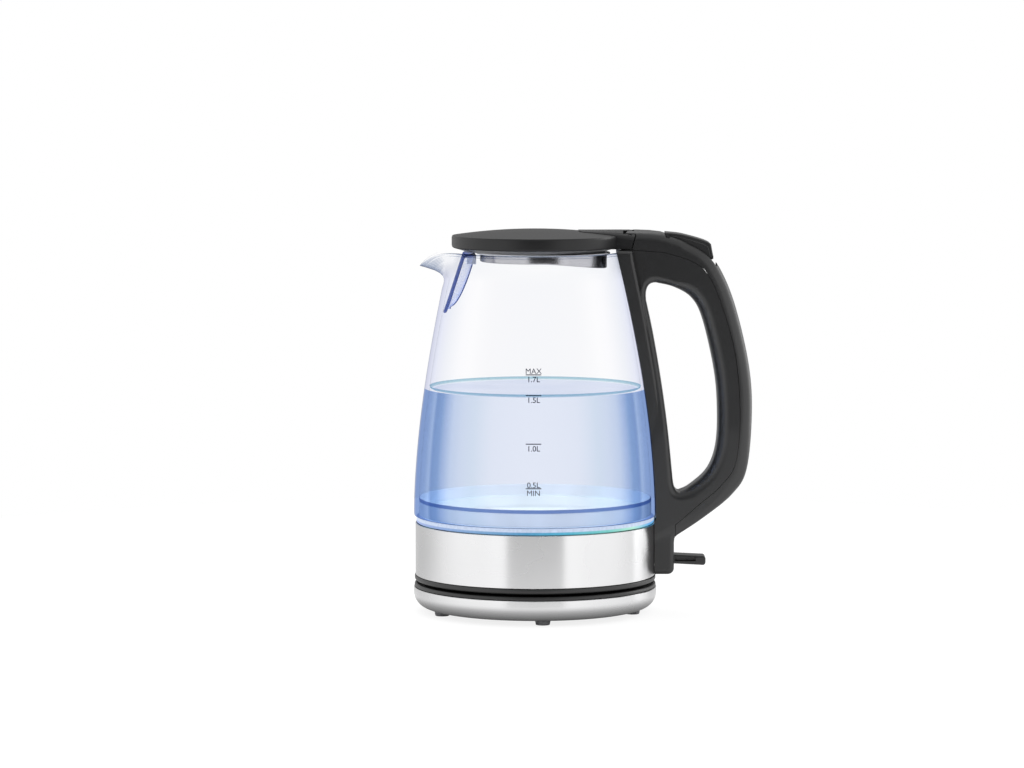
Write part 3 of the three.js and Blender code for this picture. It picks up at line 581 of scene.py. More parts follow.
def rounded_slab(name, loops, half, radius, rule=None, steps=7):
    """Like slab, with the rounding of its edges given by radius(x, z) at each point of its loops."""
    points = []
    faces = []
    rims = {1: [], -1: []}
    for number, loop in enumerate(loops):
        line = [Vector(p) for p in loop]
        area = sum(a.x * b.y - b.x * a.y for a, b in zip(line, [*line[1:], line[0]]))
        if (area > 0) != (number == 0):
            line.reverse()
        count = len(line)
        normals = []
        for i, p in enumerate(line):
            along = (line[(i + 1) % count] - line[i - 1]).normalized()
            normals.append(Vector((-along.y, along.x)))
        rows = []
        for k in range(-steps, steps + 1):
            row = []
            turn = math.pi / 2 * abs(k) / steps
            for p, normal in zip(line, normals):
                size = radius(p.x, p.y)
                inward = size * (1 - math.cos(turn))
                across = half - size + size * math.sin(turn)
                q = p + normal * inward
                y = across if k >= 0 else -across
                row.append(len(points))
                points.append((q.x, y, q.y))
                if k == 0:
                    points[-1] = (q.x, half - size, q.y)
                    row.append(len(points))
                    points.append((q.x, size - half, q.y))
            rows.append(row)
        middle = rows[steps]
        strips = rows[:steps] + [middle[1::2], middle[0::2]] + rows[steps + 1:]
        for lower, upper in zip(strips, strips[1:]):
            for i in range(count):
                j = (i + 1) % count
                faces.append((lower[i], lower[j], upper[j], upper[i]))
        rims[-1].append(strips[0])
        rims[1].append(strips[-1])
    for rings in rims.values():
        flat = [[Vector((points[i][0], points[i][2], 0)) for i in ring] for ring in rings]
        index = [i for ring in rings for i in ring]
        for triangle in tessellate_polygon(flat):
            faces.append(tuple(index[i] for i in triangle))
    if rule:
        points = [rule(*point) for point in points]
    return closed_mesh(name, points, faces)


def block(x0, x1, y0, y1, z0, z1):
    points = [(x, y, z) for x in (x0, x1) for y in (y0, y1) for z in (z0, z1)]
    faces = [(0, 1, 3, 2), (4, 6, 7, 5), (0, 4, 5, 1), (2, 3, 7, 6), (0, 2, 6, 4), (1, 5, 7, 3)]
    return closed_mesh("block", points, faces)


def rod(radius, y0, y1, x, z, edge=0.0, sides=FINE):
    """A cylinder across Y with its two rims rounded by edge."""
    profile = [(0, y0), (radius, y0), (radius, y1), (0, y1)]
    if edge:
        profile = fillet(profile, edge)
    mesh = turned("rod", profile, sides)
    for vertex in mesh.vertices:
        vertex.co = (vertex.co.x + x, vertex.co.z, vertex.co.y + z)
    mesh.flip_normals()
    return mesh


def combined(name, base, others, operation):
    """Joins, cuts or crosses the base mesh with the others."""
    holder = bpy.data.objects.new(name, base)
    scene.collection.objects.link(holder)
    tools = []
    for other in others:
        tool = bpy.data.objects.new("tool", other)
        scene.collection.objects.link(tool)
        modifier = holder.modifiers.new("combine", "BOOLEAN")
        modifier.operation = operation
        modifier.solver = "MANIFOLD"
        modifier.object = tool
        tools.append(tool)
    result = evaluated(holder)
    for tool in [holder, *tools]:
        bpy.data.objects.remove(tool)
    return result


def cut(name, base, *others):
    return combined(name, base, others, "DIFFERENCE")


def join(name, base, *others):
    return combined(name, base, others, "UNION")


def crossing(name, base, other):
    return combined(name, base, [other], "INTERSECT")


# ---- Base ----

def arc(x, z, radius, start, end, steps=10):
    angles = [math.radians(start + (end - start) * i / steps) for i in range(steps + 1)]
    return [(x + radius * math.cos(a), z + radius * math.sin(a)) for a in angles]


def base_pieces():
    floor = bottom_of("base_trim_ring")
    lip = 10
    sheet = 0.8
    outside = arc(BODY_R - lip, floor + lip, lip, -90, 0)
    inside = arc(BODY_R - lip, floor + lip, lip - sheet, 0, -90)
    rim = [(BODY_R, RING_TOP - 0.25), (BODY_R - 0.25, RING_TOP), (BODY_R - sheet, RING_TOP)]
    ring = turned("ring", [*outside, *rim, *inside])
    gland_low, gland_high = span("cord_gland")
    gap = block(gland_low.x + 2.1, gland_high.x - 2.1, 60, 90, 4, gland_high.z + 0.3)
    ring = cut("ring", ring, gap)
    show("base_steel_ring", ring, BAND_STEEL, "base", ["base_trim_ring"])

    hole = 18
    top = top_of("base_top_cover")
    cover = [
        (hole, 16.8), (75, 16.2), (75, 12.5), (77.4, 12.5), (77.4, RING_TOP + GAP), (78.6, RING_TOP + GAP),
        (78.6, top - 0.8), (77.4, top), (74, 18.4), (hole, 19),
    ]
    cover = turned("cover", loop_fillet(cover, 0.7))
    show("base_top_ring", cover, BLACK, "base", ["base_top_cover"])

    low = bottom_of("base_bottom_cover")
    under = [(0, low), (68.4, low), (68.4, 9), (66.2, 9), (66.2, low + 2), (0, low + 2)]
    plate = turned("under", fillet(under, 0.5))
    holes = []
    for number in (1, 2, 3):
        screw_low, screw_high = span(f"base_screw_{number}")
        x, y = (screw_low.x + screw_high.x) / 2, (screw_low.y + screw_high.y) / 2
        sunk = [(0, low - 1), (3.7, low - 1), (3.7, low + 0.3), (1.8, low + 2), (1.8, low + 4), (0, low + 4)]
        holes.append(moved(turned("bore", sunk, 32), x, y))
    vents = [moved(block(-12, 12, -0.8, 0.8, low - 1, low + 4), 0, 30 + 3.6 * i) for i in range(5)]
    notch = block(gland_low.x + 2.1, gland_high.x - 2.1, 60, 90, 6, gland_high.z + 0.4)
    under_cover = cut("under", plate, *holes, *vents, notch)
    show("base_under_cover", under_cover, BLACK, "base", ["base_bottom_cover"])

    for number in range(1, 6):
        foot_low, foot_high = span(f"foot_{number}")
        radius = (foot_high.x - foot_low.x) / 2
        profile = [(0, foot_low.z), (radius - 0.5, foot_low.z), (radius, foot_high.z), (0, foot_high.z)]
        foot = turned("foot", fillet(profile, 0.5), FINE)
        moved(foot, (foot_low.x + foot_high.x) / 2, (foot_low.y + foot_high.y) / 2)
        show(f"rubber_foot_{number}", foot, FOOT, "base", [f"foot_{number}"])
    for number in (1, 2, 3):
        base_screw(number)


def moved(mesh, x=0.0, y=0.0, z=0.0):
    for vertex in mesh.vertices:
        vertex.co += Vector((x, y, z))
    return mesh


def base_screw(number):
    """Countersunk screw with a cross recess in its head."""
    low, high = span(f"base_screw_{number}")
    z = low.z
    profile = [(0, z), (2.8, z), (1.4, z + 1.6), (1.4, high.z - 0.8), (0, high.z)]
    screw = turned("screw", fillet(profile, 0.2), 32)
    slots = [block(-1.6, 1.6, -0.35, 0.35, z - 1, z + 0.9), block(-0.35, 0.35, -1.6, 1.6, z - 1, z + 0.9)]
    shape = moved(cut("screw", screw, *slots), (low.x + high.x) / 2, (low.y + high.y) / 2)
    show(f"cross_screw_{number}", shape, SPRING_STEEL, "base", [f"base_screw_{number}"])


def connector_pieces():
    foot = bottom_of("base_connector")
    top = top_of("base_connector")
    socket = [
        (0, foot), (17, foot), (17, 12), (24, 12), (24, 15.8), (17, 15.8), (17, top - 0.8), (16.2, top),
        (10.6, top), (10.6, 12), (7.4, 12), (7.4, top), (3.4, top), (3.4, 9.5), (0, 9.5),
    ]
    socket = turned("socket", fillet(socket, 0.5), MEDIUM)
    show("round_socket", socket, BLACK, "base", ["base_connector"])
    sleeves = [
        ("live_contact", [(0, 9.8), (3.1, 9.8), (3.1, 20), (2.75, 20), (2.75, 10.6), (0, 10.6)]),
        ("neutral_contact", [(7.7, 12.3), (8.2, 12.3), (8.2, 21), (7.7, 21)]),
        ("earth_contact", [(17.3, 21), (17.8, 21), (17.8, 26), (17.3, 26)]),
    ]
    for node, profile in sleeves:
        rounded = fillet(profile, 0.1) if profile[0][0] == 0 else loop_fillet(profile, 0.1)
        show(f"brass_{node}", turned(node, rounded, MEDIUM), BRASS, "base", [node])
    cap = [(0, 32), (18.7, 32), (18.7, 23.5), (20.8, 23.5), (20.8, 35.6), (0, 35.6)]
    cap = turned("cap", fillet(cap, 0.5), MEDIUM)
    show("plug_cap", cap, BLACK, "jug_coupler", ["jug_connector"])
    pin = [(0, 14), (1.5, 14), (2.3, 15.2), (2.3, 31.7), (0, 31.7)]
    pin = turned("pin", fillet(pin, 0.4), FINE)
    show("brass_pin", pin, BRASS, "jug_coupler", ["plug_pin"])
    ring = [(8.7, 16), (9.5, 16), (9.5, 31.7), (8.7, 31.7)]
    ring = turned("ring", loop_fillet(ring, 0.3), MEDIUM)
    show("brass_ring", ring, BRASS, "jug_coupler", ["plug_ring"])


def cord_outlet():
    """Rubber bush in the base's rear wall, with a collar and a round hole through it."""
    low, high = span("cord_gland")
    left, right = low.x + 2.5, high.x - 2.5
    face = [(left, low.z), (right, low.z), (right, high.z), (left, high.z)]
    body = slab("gland", [face], high.y - low.y, 0.8, y=(low.y + high.y) / 2)
    collar = block(low.x, high.x, 70.6, 73.2, 5.6, high.z)
    hole = rod(3.3, 60, 90, 0, (low.z + high.z) / 2)
    bush = cut("gland", join("gland", body, collar), hole)
    show("cord_bush", bush, GLAND, "base", ["cord_gland"])


# ---- Jug ----

def glass_r(z):
    """Outer radius of the glass at a height: widest at its foot and narrowing to the rim."""
    t = (z - GLASS_FOOT) / (GLASS_RIM - GLASS_FOOT)
    return BODY_R - 3.7 * t - 27 * t * t + 7.2 * t**3


def glass_inside(z):
    return glass_r(z) - GLASS_WALL


def pour_spout(x, y, z):
    """Draws the rim out towards -X and lets it sink, by a weight that fades to both sides."""
    rise = min(max((z - SPOUT_ROOT) / (GLASS_RIM - SPOUT_ROOT), 0), 1)
    angle = min(abs(math.atan2(y, -x)) / SPOUT_HALF_ANGLE, 1)
    weight = 0.5 + 0.5 * math.cos(math.pi * angle)
    return x - SPOUT_PUSH * weight * rise**SPOUT_CURL, y, z - SPOUT_DROP * weight**3 * rise


def glass_jug():
    levels = [GLASS_FOOT + (GLASS_RIM - 2 - GLASS_FOOT) * i / 56 for i in range(57)]
    outside = [(glass_r(z), z) for z in levels]
    inside = [(glass_inside(z), z) for z in reversed(levels)]
    top = glass_r(GLASS_RIM)
    bead = arc(top - 1.55, GLASS_RIM - 1.6, 1.6, 0, 180, 8)
    foot = GLASS_BOTTOM
    heel = [(75.6, foot), (78, foot), (78.8, foot + 0.5), (BODY_R, foot + 1.6)]
    jug = turned("glass", [*heel, *outside, *bead, *inside], VERY_ROUND, pour_spout)
    piece = show("glass_jug", jug, GLASS, "jug", ["glass_body"], 60)
    piece.data.materials.append(INNER_GLASS)
    for face in piece.data.polygons:
        if (face.center.x - AXIS_X) * face.normal.x + face.center.y * face.normal.y < 0:
            face.material_index = 1


def water():
    floor = top_of("heating_plate") + 0.3
    bottom = 60.9
    sides = [bottom, floor + 1.5] + [72 + (WATER_LEVEL - 72) * i / 24 for i in range(25)]
    wall = [(71.2, bottom), (71.6, floor)] + [(glass_inside(z) - 0.25, z) for z in sides[2:]]
    rises = [(0.25, MENISCUS), (0.7, 1.0), (1.5, 0.35), (2.8, 0.05)]  # distance from the glass, height
    creep = [(glass_inside(WATER_LEVEL) - away, WATER_LEVEL + rise) for away, rise in rises]
    profile = [(0, bottom), *wall, *creep, (40, WATER_LEVEL), (0, WATER_LEVEL)]
    show("water_fill", turned("water", profile, VERY_ROUND), WATER, "jug", sharp=70)


def jug_foot_pieces():
    top = BAND_BOTTOM - GAP
    cover = [
        (21.8, 22.2), (75, 21), (77.6, 21), (78.5, 21.9), (78.5, top), (76.9, top), (76.9, 28), (75, 28),
        (75, 23.4), (23.8, 24.4), (23.8, 34), (21.8, 34),
    ]
    cover = turned("cover", loop_fillet(cover, 0.6))
    show("jug_base_ring", cover, BLACK, "jug", ["jug_bottom_cover"])
    inner, bend = BAND_R - 0.8, BAND_R - 0.2
    band = [
        (inner, BAND_BOTTOM), (bend, BAND_BOTTOM), (BAND_R, BAND_BOTTOM + 0.2), (BAND_R, BAND_TOP - 0.2),
        (bend, BAND_TOP), (inner, BAND_TOP),
    ]
    band = cut("band", turned("band", band, 180), block(60, 90, -6, 6, 37, 46))
    show("steel_jug_band", band, BAND_STEEL, "jug", ["steel_band"])
    guide = [(73.7, 58.7), (76.8, 58.7), (77.4, 59.3), (77.4, 62.7), (73.7, 62.7)]
    guide = turned("guide", loop_fillet(guide, 0.4))
    show("light_guide_ring", guide, LIGHT_GUIDE, "jug", ["light_ring"])
    # The steel floor under the water and the seal round it carry a painted glow.
    plate = [(0, 58.3), (71, 58.3), (73, 60.2), (73, 67), (72.2, 67), (72.2, 60.6), (70.7, 59.2), (0, 59.2)]
    plate = turned("plate", fillet(plate, 0.8))
    show("steel_floor", plate, STEEL_FLOOR_PAINTED_GLOW, "jug", ["heating_plate"])
    seal = [(73.3, 63.4), (75.2, 63.4), (75.2, 74.8), (74.6, 74.8), (71.9, 68.6), (71.9, 67.4), (73.3, 67.4)]
    show("floor_seal", turned("seal", loop_fillet(seal, 0.4)), SEAL_PAINTED_GLOW, "jug", ["plate_seal"])
    # Thin sheets over the seal: a grey-blue band and a dark blue band at its top, both with a painted glow.
    sleeves = [("floor_seal_face_painted_glow", 63.6, 72.2, SEAL_FACE_PAINTED_GLOW), ("floor_seal_band_painted_glow", 72.3, 74.6, SEAL_BAND_PAINTED_GLOW)]
    for name, low, high, material in sleeves:
        sleeve = [(75.25, low), (75.55, low + 0.2), (75.55, high - 0.2), (75.25, high)]
        show(name, turned("sleeve", sleeve), material, "jug")


# Level marks: text, height of its middle, height of its bar.
GAUGE = [
    ("MAX", 162.4, None), ("1.7L", 157.2, 160.3), ("1.5L", 144.2, 147.3),
    ("1.0L", 113.7, 116.8), ("0.5L", 90.7, 88.7), ("MIN", 85.6, None),
]
GAUGE_X = -1.5
GAUGE_HALF = 4.9
GAUGE_TEXT = 3.6


def on_glass(x, z, lift):
    """A point on the front of the glass, lifted off it."""
    radius = glass_r(z) + lift
    return x, -math.sqrt(radius * radius - x * x), z


def gauge_marks():
    """Printed bars and numerals, a thin layer of ink that follows the front of the glass."""
    ink = 0.06
    points = []
    faces = []

    def layer(flat_points, flat_faces):
        start = len(points)
        count = len(flat_points)
        points.extend(on_glass(x, z, 0.02) for x, z in flat_points)
        points.extend(on_glass(x, z, ink) for x, z in flat_points)
        edges = {}
        for face in flat_faces:
            faces.append([start + i for i in reversed(face)])
            faces.append([start + count + i for i in face])
            for a, b in zip(face, [*face[1:], face[0]]):
                edges[(a, b)] = edges.get((a, b), 0) + 1
        for a, b in edges:
            if (b, a) not in edges:
                faces.append([start + a, start + b, start + count + b, start + count + a])

    for text, centre, bar in GAUGE:
        curve = bpy.data.curves.new("numeral", "FONT")
        curve.body = text
        curve.size = GAUGE_TEXT * 1.35
        curve.offset = 0 if "M" in text else 0.03
        curve.align_x = "CENTER"
        curve.align_y = "CENTER"
        holder = bpy.data.objects.new("numeral", curve)
        scene.collection.objects.link(holder)
        drawn = evaluated(holder)
        shape = bmesh.new()
        shape.from_mesh(drawn)
        bmesh.ops.remove_doubles(shape, verts=shape.verts, dist=1e-4)
        shape.verts.ensure_lookup_table()
        shape.verts.index_update()
        flat = [(GAUGE_X + v.co.x, centre + v.co.y) for v in shape.verts]
        layer(flat, [[v.index for v in f.verts] for f in shape.faces])
        shape.free()
        bpy.data.objects.remove(holder)
        if bar:
            steps = 8
            row = [GAUGE_X - GAUGE_HALF + 2 * GAUGE_HALF * i / steps for i in range(steps + 1)]
            flat = [(x, bar - 0.3) for x in row] + [(x, bar + 0.3) for x in row]
            layer(flat, [[i, i + 1, i + steps + 2, i + steps + 1] for i in range(steps)])
    mesh = bpy.data.meshes.new("gauge")
    mesh.from_pydata(points, [], faces)
    show("gauge_marks", mesh, INK, "jug")


# ---- Spout filter ----

FILTER_BOTTOM = 196
FILTER_TOP = 232.8
FILTER_HALF = 21.5
MESH_BOTTOM = 197.5
MESH_RISE = 34.5


def filter_half(z):
    return FILTER_HALF * ((z - FILTER_BOTTOM) / (FILTER_TOP - FILTER_BOTTOM)) ** 0.35


def filter_bulge(z):
    return -55.6 + 16 * max((z - 199) / 33, 0) ** 0.6


def bar_along(name, path, half_wide, half_thick, outward):
    """A flat bar with round edges along a path; outward(point) gives the direction of its width."""
    turns = [2 * math.pi * k / 16 for k in range(16)]
    section = [(half_wide * math.cos(a), half_thick * math.sin(a)) for a in turns]
    points = []
    faces = []
    for i, p in enumerate(path):
        ahead = Vector(path[min(i + 1, len(path) - 1)]) - Vector(path[max(i - 1, 0)])
        ahead.normalize()
        wide = Vector(outward(p))
        wide = (wide - ahead * wide.dot(ahead)).normalized()
        thick = ahead.cross(wide)
        points.extend(tuple(Vector(p) + wide * u + thick * v) for u, v in section)
    for i in range(len(path) - 1):
        for k in range(16):
            a, b = i * 16 + k, i * 16 + (k + 1) % 16
            faces.append((a, b, b + 16, a + 16))
    faces.append(tuple(range(16)))
    faces.append(tuple(len(points) - 16 + k for k in range(16)))
    return closed_mesh(name, points, faces)


def filter_pieces():
    rail = []
    steps = 64
    for i in range(steps + 1):
        sine = math.sin(math.pi * (i / steps - 0.5))
        z = FILTER_BOTTOM + (FILTER_TOP - FILTER_BOTTOM) * abs(sine) ** 2.86
        y = FILTER_HALF * sine
        radius = glass_inside(z) - 1.7
        rail.append((-math.sqrt(radius * radius - y * y), y, z))
    rail_bar = bar_along("rail", rail, 1.25, 1.15, lambda p: (0, -p[1] or 1, 0.01))
    edge = rail[0][0]
    middle = filter_bulge(FILTER_TOP) - 0.4
    top_path = []
    for i in range(33):
        p = -1 + i / 16
        top_path.append((edge + (middle - edge) * (1 - p * p), p * FILTER_HALF, FILTER_TOP - 0.1))
    top_bar = bar_along("top", top_path, 1.1, 1.0, lambda p: (0, 0, 1))
    tab = slab("tab", [[(-44.5, 226.6), (-38.4, 226.6), (-38.4, 232.6), (-44.5, 232.6)]], 8, 0.8)
    rib_levels = [MESH_BOTTOM + MESH_RISE * i / 24 for i in range(25)]
    rib_path = [(filter_bulge(z) + 0.3, 0, z) for z in rib_levels]
    rib = bar_along("rib", rib_path, 0.55, 0.4, lambda p: (1, 0, 0))
    whole = join("filter_frame", rail_bar, top_bar, rib)
    show("filter_frame", whole, FILTER_BLUE, "jug", ["spout_filter_frame"], 50)
    show("filter_tab", tab, TAB_GREY, "jug")

    columns, rows = 26, 36
    points = []
    for j in range(rows + 1):
        z = MESH_BOTTOM + MESH_RISE * j / rows
        half = filter_half(z) - 0.5
        side = -math.sqrt((glass_inside(z) - 2.0) ** 2 - half * half)
        bulge = filter_bulge(z)
        for i in range(columns + 1):
            p = 2 * i / columns - 1
            points.append((side + (bulge - side) * (1 - p * p), p * half, z))
    faces = []
    for j in range(rows):
        for i in range(columns):
            a = j * (columns + 1) + i
            faces.append((a, a + 1, a + columns + 2, a + columns + 1))
    sheet = bpy.data.meshes.new("filter_sheet")
    sheet.from_pydata(points, [], faces)
    holder = bpy.data.objects.new("sheet", sheet)
    scene.collection.objects.link(holder)
    threads = holder.modifiers.new("threads", "WIREFRAME")
    threads.thickness = 0.13
    woven = evaluated(holder)
    bpy.data.objects.remove(holder)
    show("filter_weave", woven, MESH_BLUE, "jug", ["spout_filter_mesh"], 60)


# ---- Handle ----

def handle_outline():
    back = spline([
        (81, 247.6), (97, 242.3), (111.7, 234), (121.2, 221), (130.2, 197.7), (138.6, 161.2), (140.7, 130),
        (137.5, 93.4), (128, 77), (109.6, 62.2), (92, 50.4),
    ])
    corner = arc(86.3, 29, 4, 0, -90, 8)
    return [(28, 248.6), (66, 248.7), (74, 248.4), *back, (90.6, 48.6), (90.3, 46), *corner, (28, 25)]


def quadratic(a, b, c, steps=8):
    a, b, c = Vector(a), Vector(b), Vector(c)
    shares = [i / steps for i in range(steps)]
    return [tuple(a * (1 - t) ** 2 + b * (2 * t * (1 - t)) + c * t * t) for t in shares]


def finger_gap():
    front = spline([(71.6, 204), (76.3, 182), (81.7, 150.7), (86, 119.4), (89, 90)])
    foot = quadratic((89, 90), (89.8, 78.6), (93.6, 79))
    back = spline([
        (93.6, 79), (100.4, 82.6), (111.6, 93), (117.3, 108), (118.5, 130), (116.4, 156.8), (108.8, 190.2),
        (101.4, 204.8), (90, 212.2), (78, 215.2),
    ])
    top = quadratic((78, 215.2), (70.4, 215.6), (71.6, 204))
    return [*front[:-1], *foot, *back[:-1], *top]


def slim_foot(x, y, z):
    """Makes the handle a fifth narrower from its middle down to its foot."""
    return x, y * (1 - 0.2 * min(max((120 - z) / 70, 0), 1)), z


def spine_strip():
    """The broad strip of the spine that lies on the glass: wide at the rim, narrow at the foot."""
    levels = [236 - (236 - 60) * i / 30 for i in range(31)]
    edge = [(glass_r(min(z, GLASS_RIM)) + 7, z) for z in levels]

    def narrowing(x, y, z):
        rise = min(max((z - 60) / 175, 0), 1)
        return x, y * (0.6 + 0.4 * rise), z

    return slab("strip", [[(40, 236), *edge, (86, 50), (86, 26), (40, 26)]], 37, 2.6, rule=narrowing)


def jug_envelope(grow):
    """The jug's outside, grown by a gap and carried on above the rim, to be taken out of the handle."""
    levels = [GLASS_FOOT + (GLASS_RIM - GLASS_FOOT) * i / 40 for i in range(41)]
    side = [(glass_r(z) + grow, z) for z in levels]
    band = BAND_R + grow
    low = [(0, 15), (band, 15), (band, BAND_TOP + 1), (BODY_R + grow, BAND_TOP + 3)]
    profile = [*low, *side, (glass_r(GLASS_RIM) + grow, 256), (0, 256)]
    return turned("envelope", profile, ROUND)


def cover_zone(inward):
    """The part of space that holds the handle's outer half, beyond the parting line moved inward."""
    line = spline([
        (83, 235), (101.6, 229), (112, 220), (121.5, 198), (129.6, 168), (132.8, 130), (130, 98), (120, 82.6),
        (106, 70.4), (93.5, 59.4),
    ])
    shifted = [tuple(Vector(p) + (Vector((95, 150)) - Vector(p)).normalized() * inward) for p in line]
    inner = 91.2 - inward
    start = [(62, 260), (62, 236.6 - inward)]
    end = [(inner, 57.5 + inward), (inner, 40), (170, 40), (170, 260)]
    return slab("cover_zone", [[*start, *shifted, *end]], 60)


def tail_zone(clear=0.0, around=0.0):
    """The part of space that the lid's tail takes, with a round knuckle at the hinge."""
    knuckle = arc(HINGE_X, HINGE_Z, KNUCKLE_R + around, 90, 0, 12)
    low = 236.8 - clear
    loop = [(20, 260), (HINGE_X, 260), *knuckle, (62 + clear, low), (20, low)]
    return slab("tail_zone", [loop], 60)


def fade(value, low, high):
    """A smooth step from 0 at low to 1 at high."""
    t = min(max((value - low) / (high - low), 0), 1)
    return t * t * (3 - 2 * t)


def bar_rounding(x, z):
    """Rounding of the handle's long edges: full along the grip and the top, small at the spine and foot."""
    return 3.4 + max(4.6 * fade(x, 84, 102) * fade(z, 56, 84), 3.2 * fade(z, 205, 228))


def outer_bar():
    return rounded_slab("outer_bar", [handle_outline()], TAIL_HALF, bar_rounding, slim_foot)


def handle_hollow():
    inner = slab("inner", [handle_outline()], 2 * (TAIL_HALF - WALL), 2, WALL, rule=slim_foot)
    room = [
        (67.2, 255), (67.2, 222), (78, 213), (97, 205), (97, 84), (80.6, 74), (80.6, 27.2), (160, 27.2),
        (160, 255),
    ]
    gap = slab("gap", [finger_gap()], 60, 0.0, -WALL - 0.6)
    sides = [block(60, 96, side * 12.9 - 5, side * 12.9 + 5, 20, 64) for side in (-1, 1)]
    return cut("hollow", crossing("hollow", inner, slab("room", [room], 60)), gap, *sides)


def steam_channel():
    levels = [230 - 170 * i / 20 for i in range(21)]
    outer = [(glass_r(z) + 6.8, z) for z in levels]
    return slab("channel", [[(40, 230), *outer, (84.4, 44), (40, 44)]], 9)


def hinge_ears():
    """Two ears of the handle that hold the lid's pin."""
    ears = []
    profile = [(HINGE_X, 242.6), (69, 238.6), (69, 248.2), (HINGE_X, 248.5)]
    for side in (-1, 1):
        y0, y1 = sorted((side * EARS[0], side * EARS[1]))
        disc = rod(KNUCKLE_R - 0.1, y0, y1, HINGE_X, HINGE_Z)
        neck = slab("neck", [profile], y1 - y0, y=(y0 + y1) / 2)
        ears.append(crossing("ear", join("ear", disc, neck), outer_bar()))
    return ears


KEY_WINDOW = [(83.8, 258), (83.8, 242.6), (92, 236.5), (109, 225.5), (117.4, 225.5), (117.4, 258)]


def handle_shell():
    bar = rounded_slab("bar", [handle_outline(), finger_gap()], TAIL_HALF, bar_rounding, slim_foot)
    whole = cut("handle", join("handle", bar, spine_strip()), jug_envelope(GAP))
    return cut("handle", whole, handle_hollow(), steam_channel(), tail_zone(RUN, LID_SWING))


def joint_tongues():
    """Two ribs inside the handle that close the parting line from within, along most of its length."""
    band = cut("band", cover_zone(-1.2), cover_zone(2.2))
    reach = crossing("reach", band, block(96, 170, -20, 20, 66, 240))
    tongues = []
    for side in (-1, 1):
        rib = slab("rib", [handle_outline()], 1, 0.0, WALL - 0.4, y=side * 6, rule=slim_foot)
        tongues.append(crossing("tongue", reach.copy(), rib))
    return tongues


def handle_pieces():
    shell = handle_shell()
    window = block(86, 95, -PADDLE_HALF - 0.6, PADDLE_HALF + 0.6, 29.6, 40.6)
    lever = block(70, 84, -4.4, 4.4, 38.6, 45)
    bore = rod(1.6, -10.5, 10.5, PADDLE_X, PADDLE_Z)
    opened = cut("inner_half", shell.copy(), cover_zone(GAP), window, lever, bore)
    inner_half = join("inner_half", opened, *joint_tongues())
    show("handle_inner_half", inner_half, CHARCOAL, "jug", ["handle_body"], 28)

    outer = crossing("outer", shell, cover_zone(0))
    key_window = slab("window", [KEY_WINDOW], 2 * (KEY_HALF + RUN))
    with_ears = join("outer", cut("outer", outer, key_window), *hinge_ears())
    latch = block(60, 72, LATCH_LOW.y - RUN, LATCH_HIGH.y + RUN, LATCH_LOW.z - RUN, LATCH_HIGH.z + RUN)
    trunnions = rod(1.6, -12.2, 12.2, *KEY_PIVOT)
    pin = rod(PIN_BORE, -13, 13, HINGE_X, HINGE_Z)
    outer_half = cut("outer_half", with_ears, latch, trunnions, pin)
    show("handle_outer_half", outer_half, CHARCOAL, "jug", ["handle_cover"], 28)


# ---- Lid ----

def lid_pieces():
    dome_r = LID_R - 0.5
    dome = []
    for i in range(24):
        radius = dome_r * (1 - i / 23)
        dome.append((radius, LID_CROWN - (LID_CROWN - LID_EDGE - 0.9) * (radius / LID_R) ** 2))
    under = [(0, LID_CROWN - WALL), (27, 246), (48, 243.2)]
    inner = LID_R - WALL
    wall = [
        (inner, 241.6), (inner, LID_BOTTOM), (LID_R - 0.5, LID_BOTTOM), (LID_R - 0.05, 239),
        (LID_R, LID_EDGE - 0.6), (LID_R - 0.15, LID_EDGE + 0.2),
    ]
    shell = moved(turned("lid", [*under, *wall, *dome]), LID_X)
    tail = crossing("tail", outer_bar(), tail_zone())
    inner_tail = cut("tail", tail, block(10, 40, -20, 20, 200, 245.6))
    near, far = EARS[0] - RUN, EARS[1] + RUN
    slots = [block(HINGE_X - 4.4, 70, *sorted((side * near, side * far)), 230, 256) for side in (-1, 1)]
    bore = rod(PIN_BORE, -13, 13, HINGE_X, HINGE_Z)
    room = rod(2.5, -4.7, 4.7, HINGE_X, HINGE_Z)
    lid = cut("lid", join("lid", shell, inner_tail), *slots, bore, room)
    show("lid_top", lid, LID_CHARCOAL_PAINTED_SHADE, "lid", ["lid_cover"], 28)

    seat = [
        (0, LID_SEAT), (44, LID_SEAT), (53.4, 237.5), (51.6, 237.5), (51.6, 239.6), (49.6, 239.6),
        (49.6, 238.4), (43.4, 236.6), (0, 236.4),
    ]
    notch = block(30, 70, -TAIL_HALF - GAP, TAIL_HALF + GAP, 236.5, 250)
    under_lid = cut("seat", moved(turned("seat", fillet(seat, 0.5)), LID_X), notch)
    show("lid_under", under_lid, CHARCOAL, "lid", ["lid_base"])

    def deeper(x, y, z):
        """Lets the pan's floor sink towards the handle."""
        back = min(max((x + 0.3) / PAN_R, 0), 1)
        low = min(max((233 - z) / 4, 0), 1)
        return x + PAN_X, y, z - 4.2 * low * back**1.5

    inner = PAN_R - 0.8
    rows = [(r, 228.4) for r in (0, 8, 16, 24, 32)]
    pan = [
        *rows, (PAN_R - 1, 228.4), (PAN_R - 0.3, 228.6), (PAN_R, 229.2), (PAN_R, 231.5), (PAN_R, 234.4),
        (inner, 234.4), (inner, 233), (32, 233), (16, 233), (0, 233),
    ]
    pan = turned("pan", pan, ROUND, deeper)
    show("lid_steel_pan", pan, PAN_STEEL, "lid", ["lid_pan"])
    seal = [(41.8, 233.4), (43.2, 233.4), (43.2, 234.4), (41.8, 234.4)]
    seal = moved(turned("seal", loop_fillet(seal, 0.2)), PAN_X)
    show("lid_pan_seal", seal, SILICONE, "lid", ["lid_seal"])


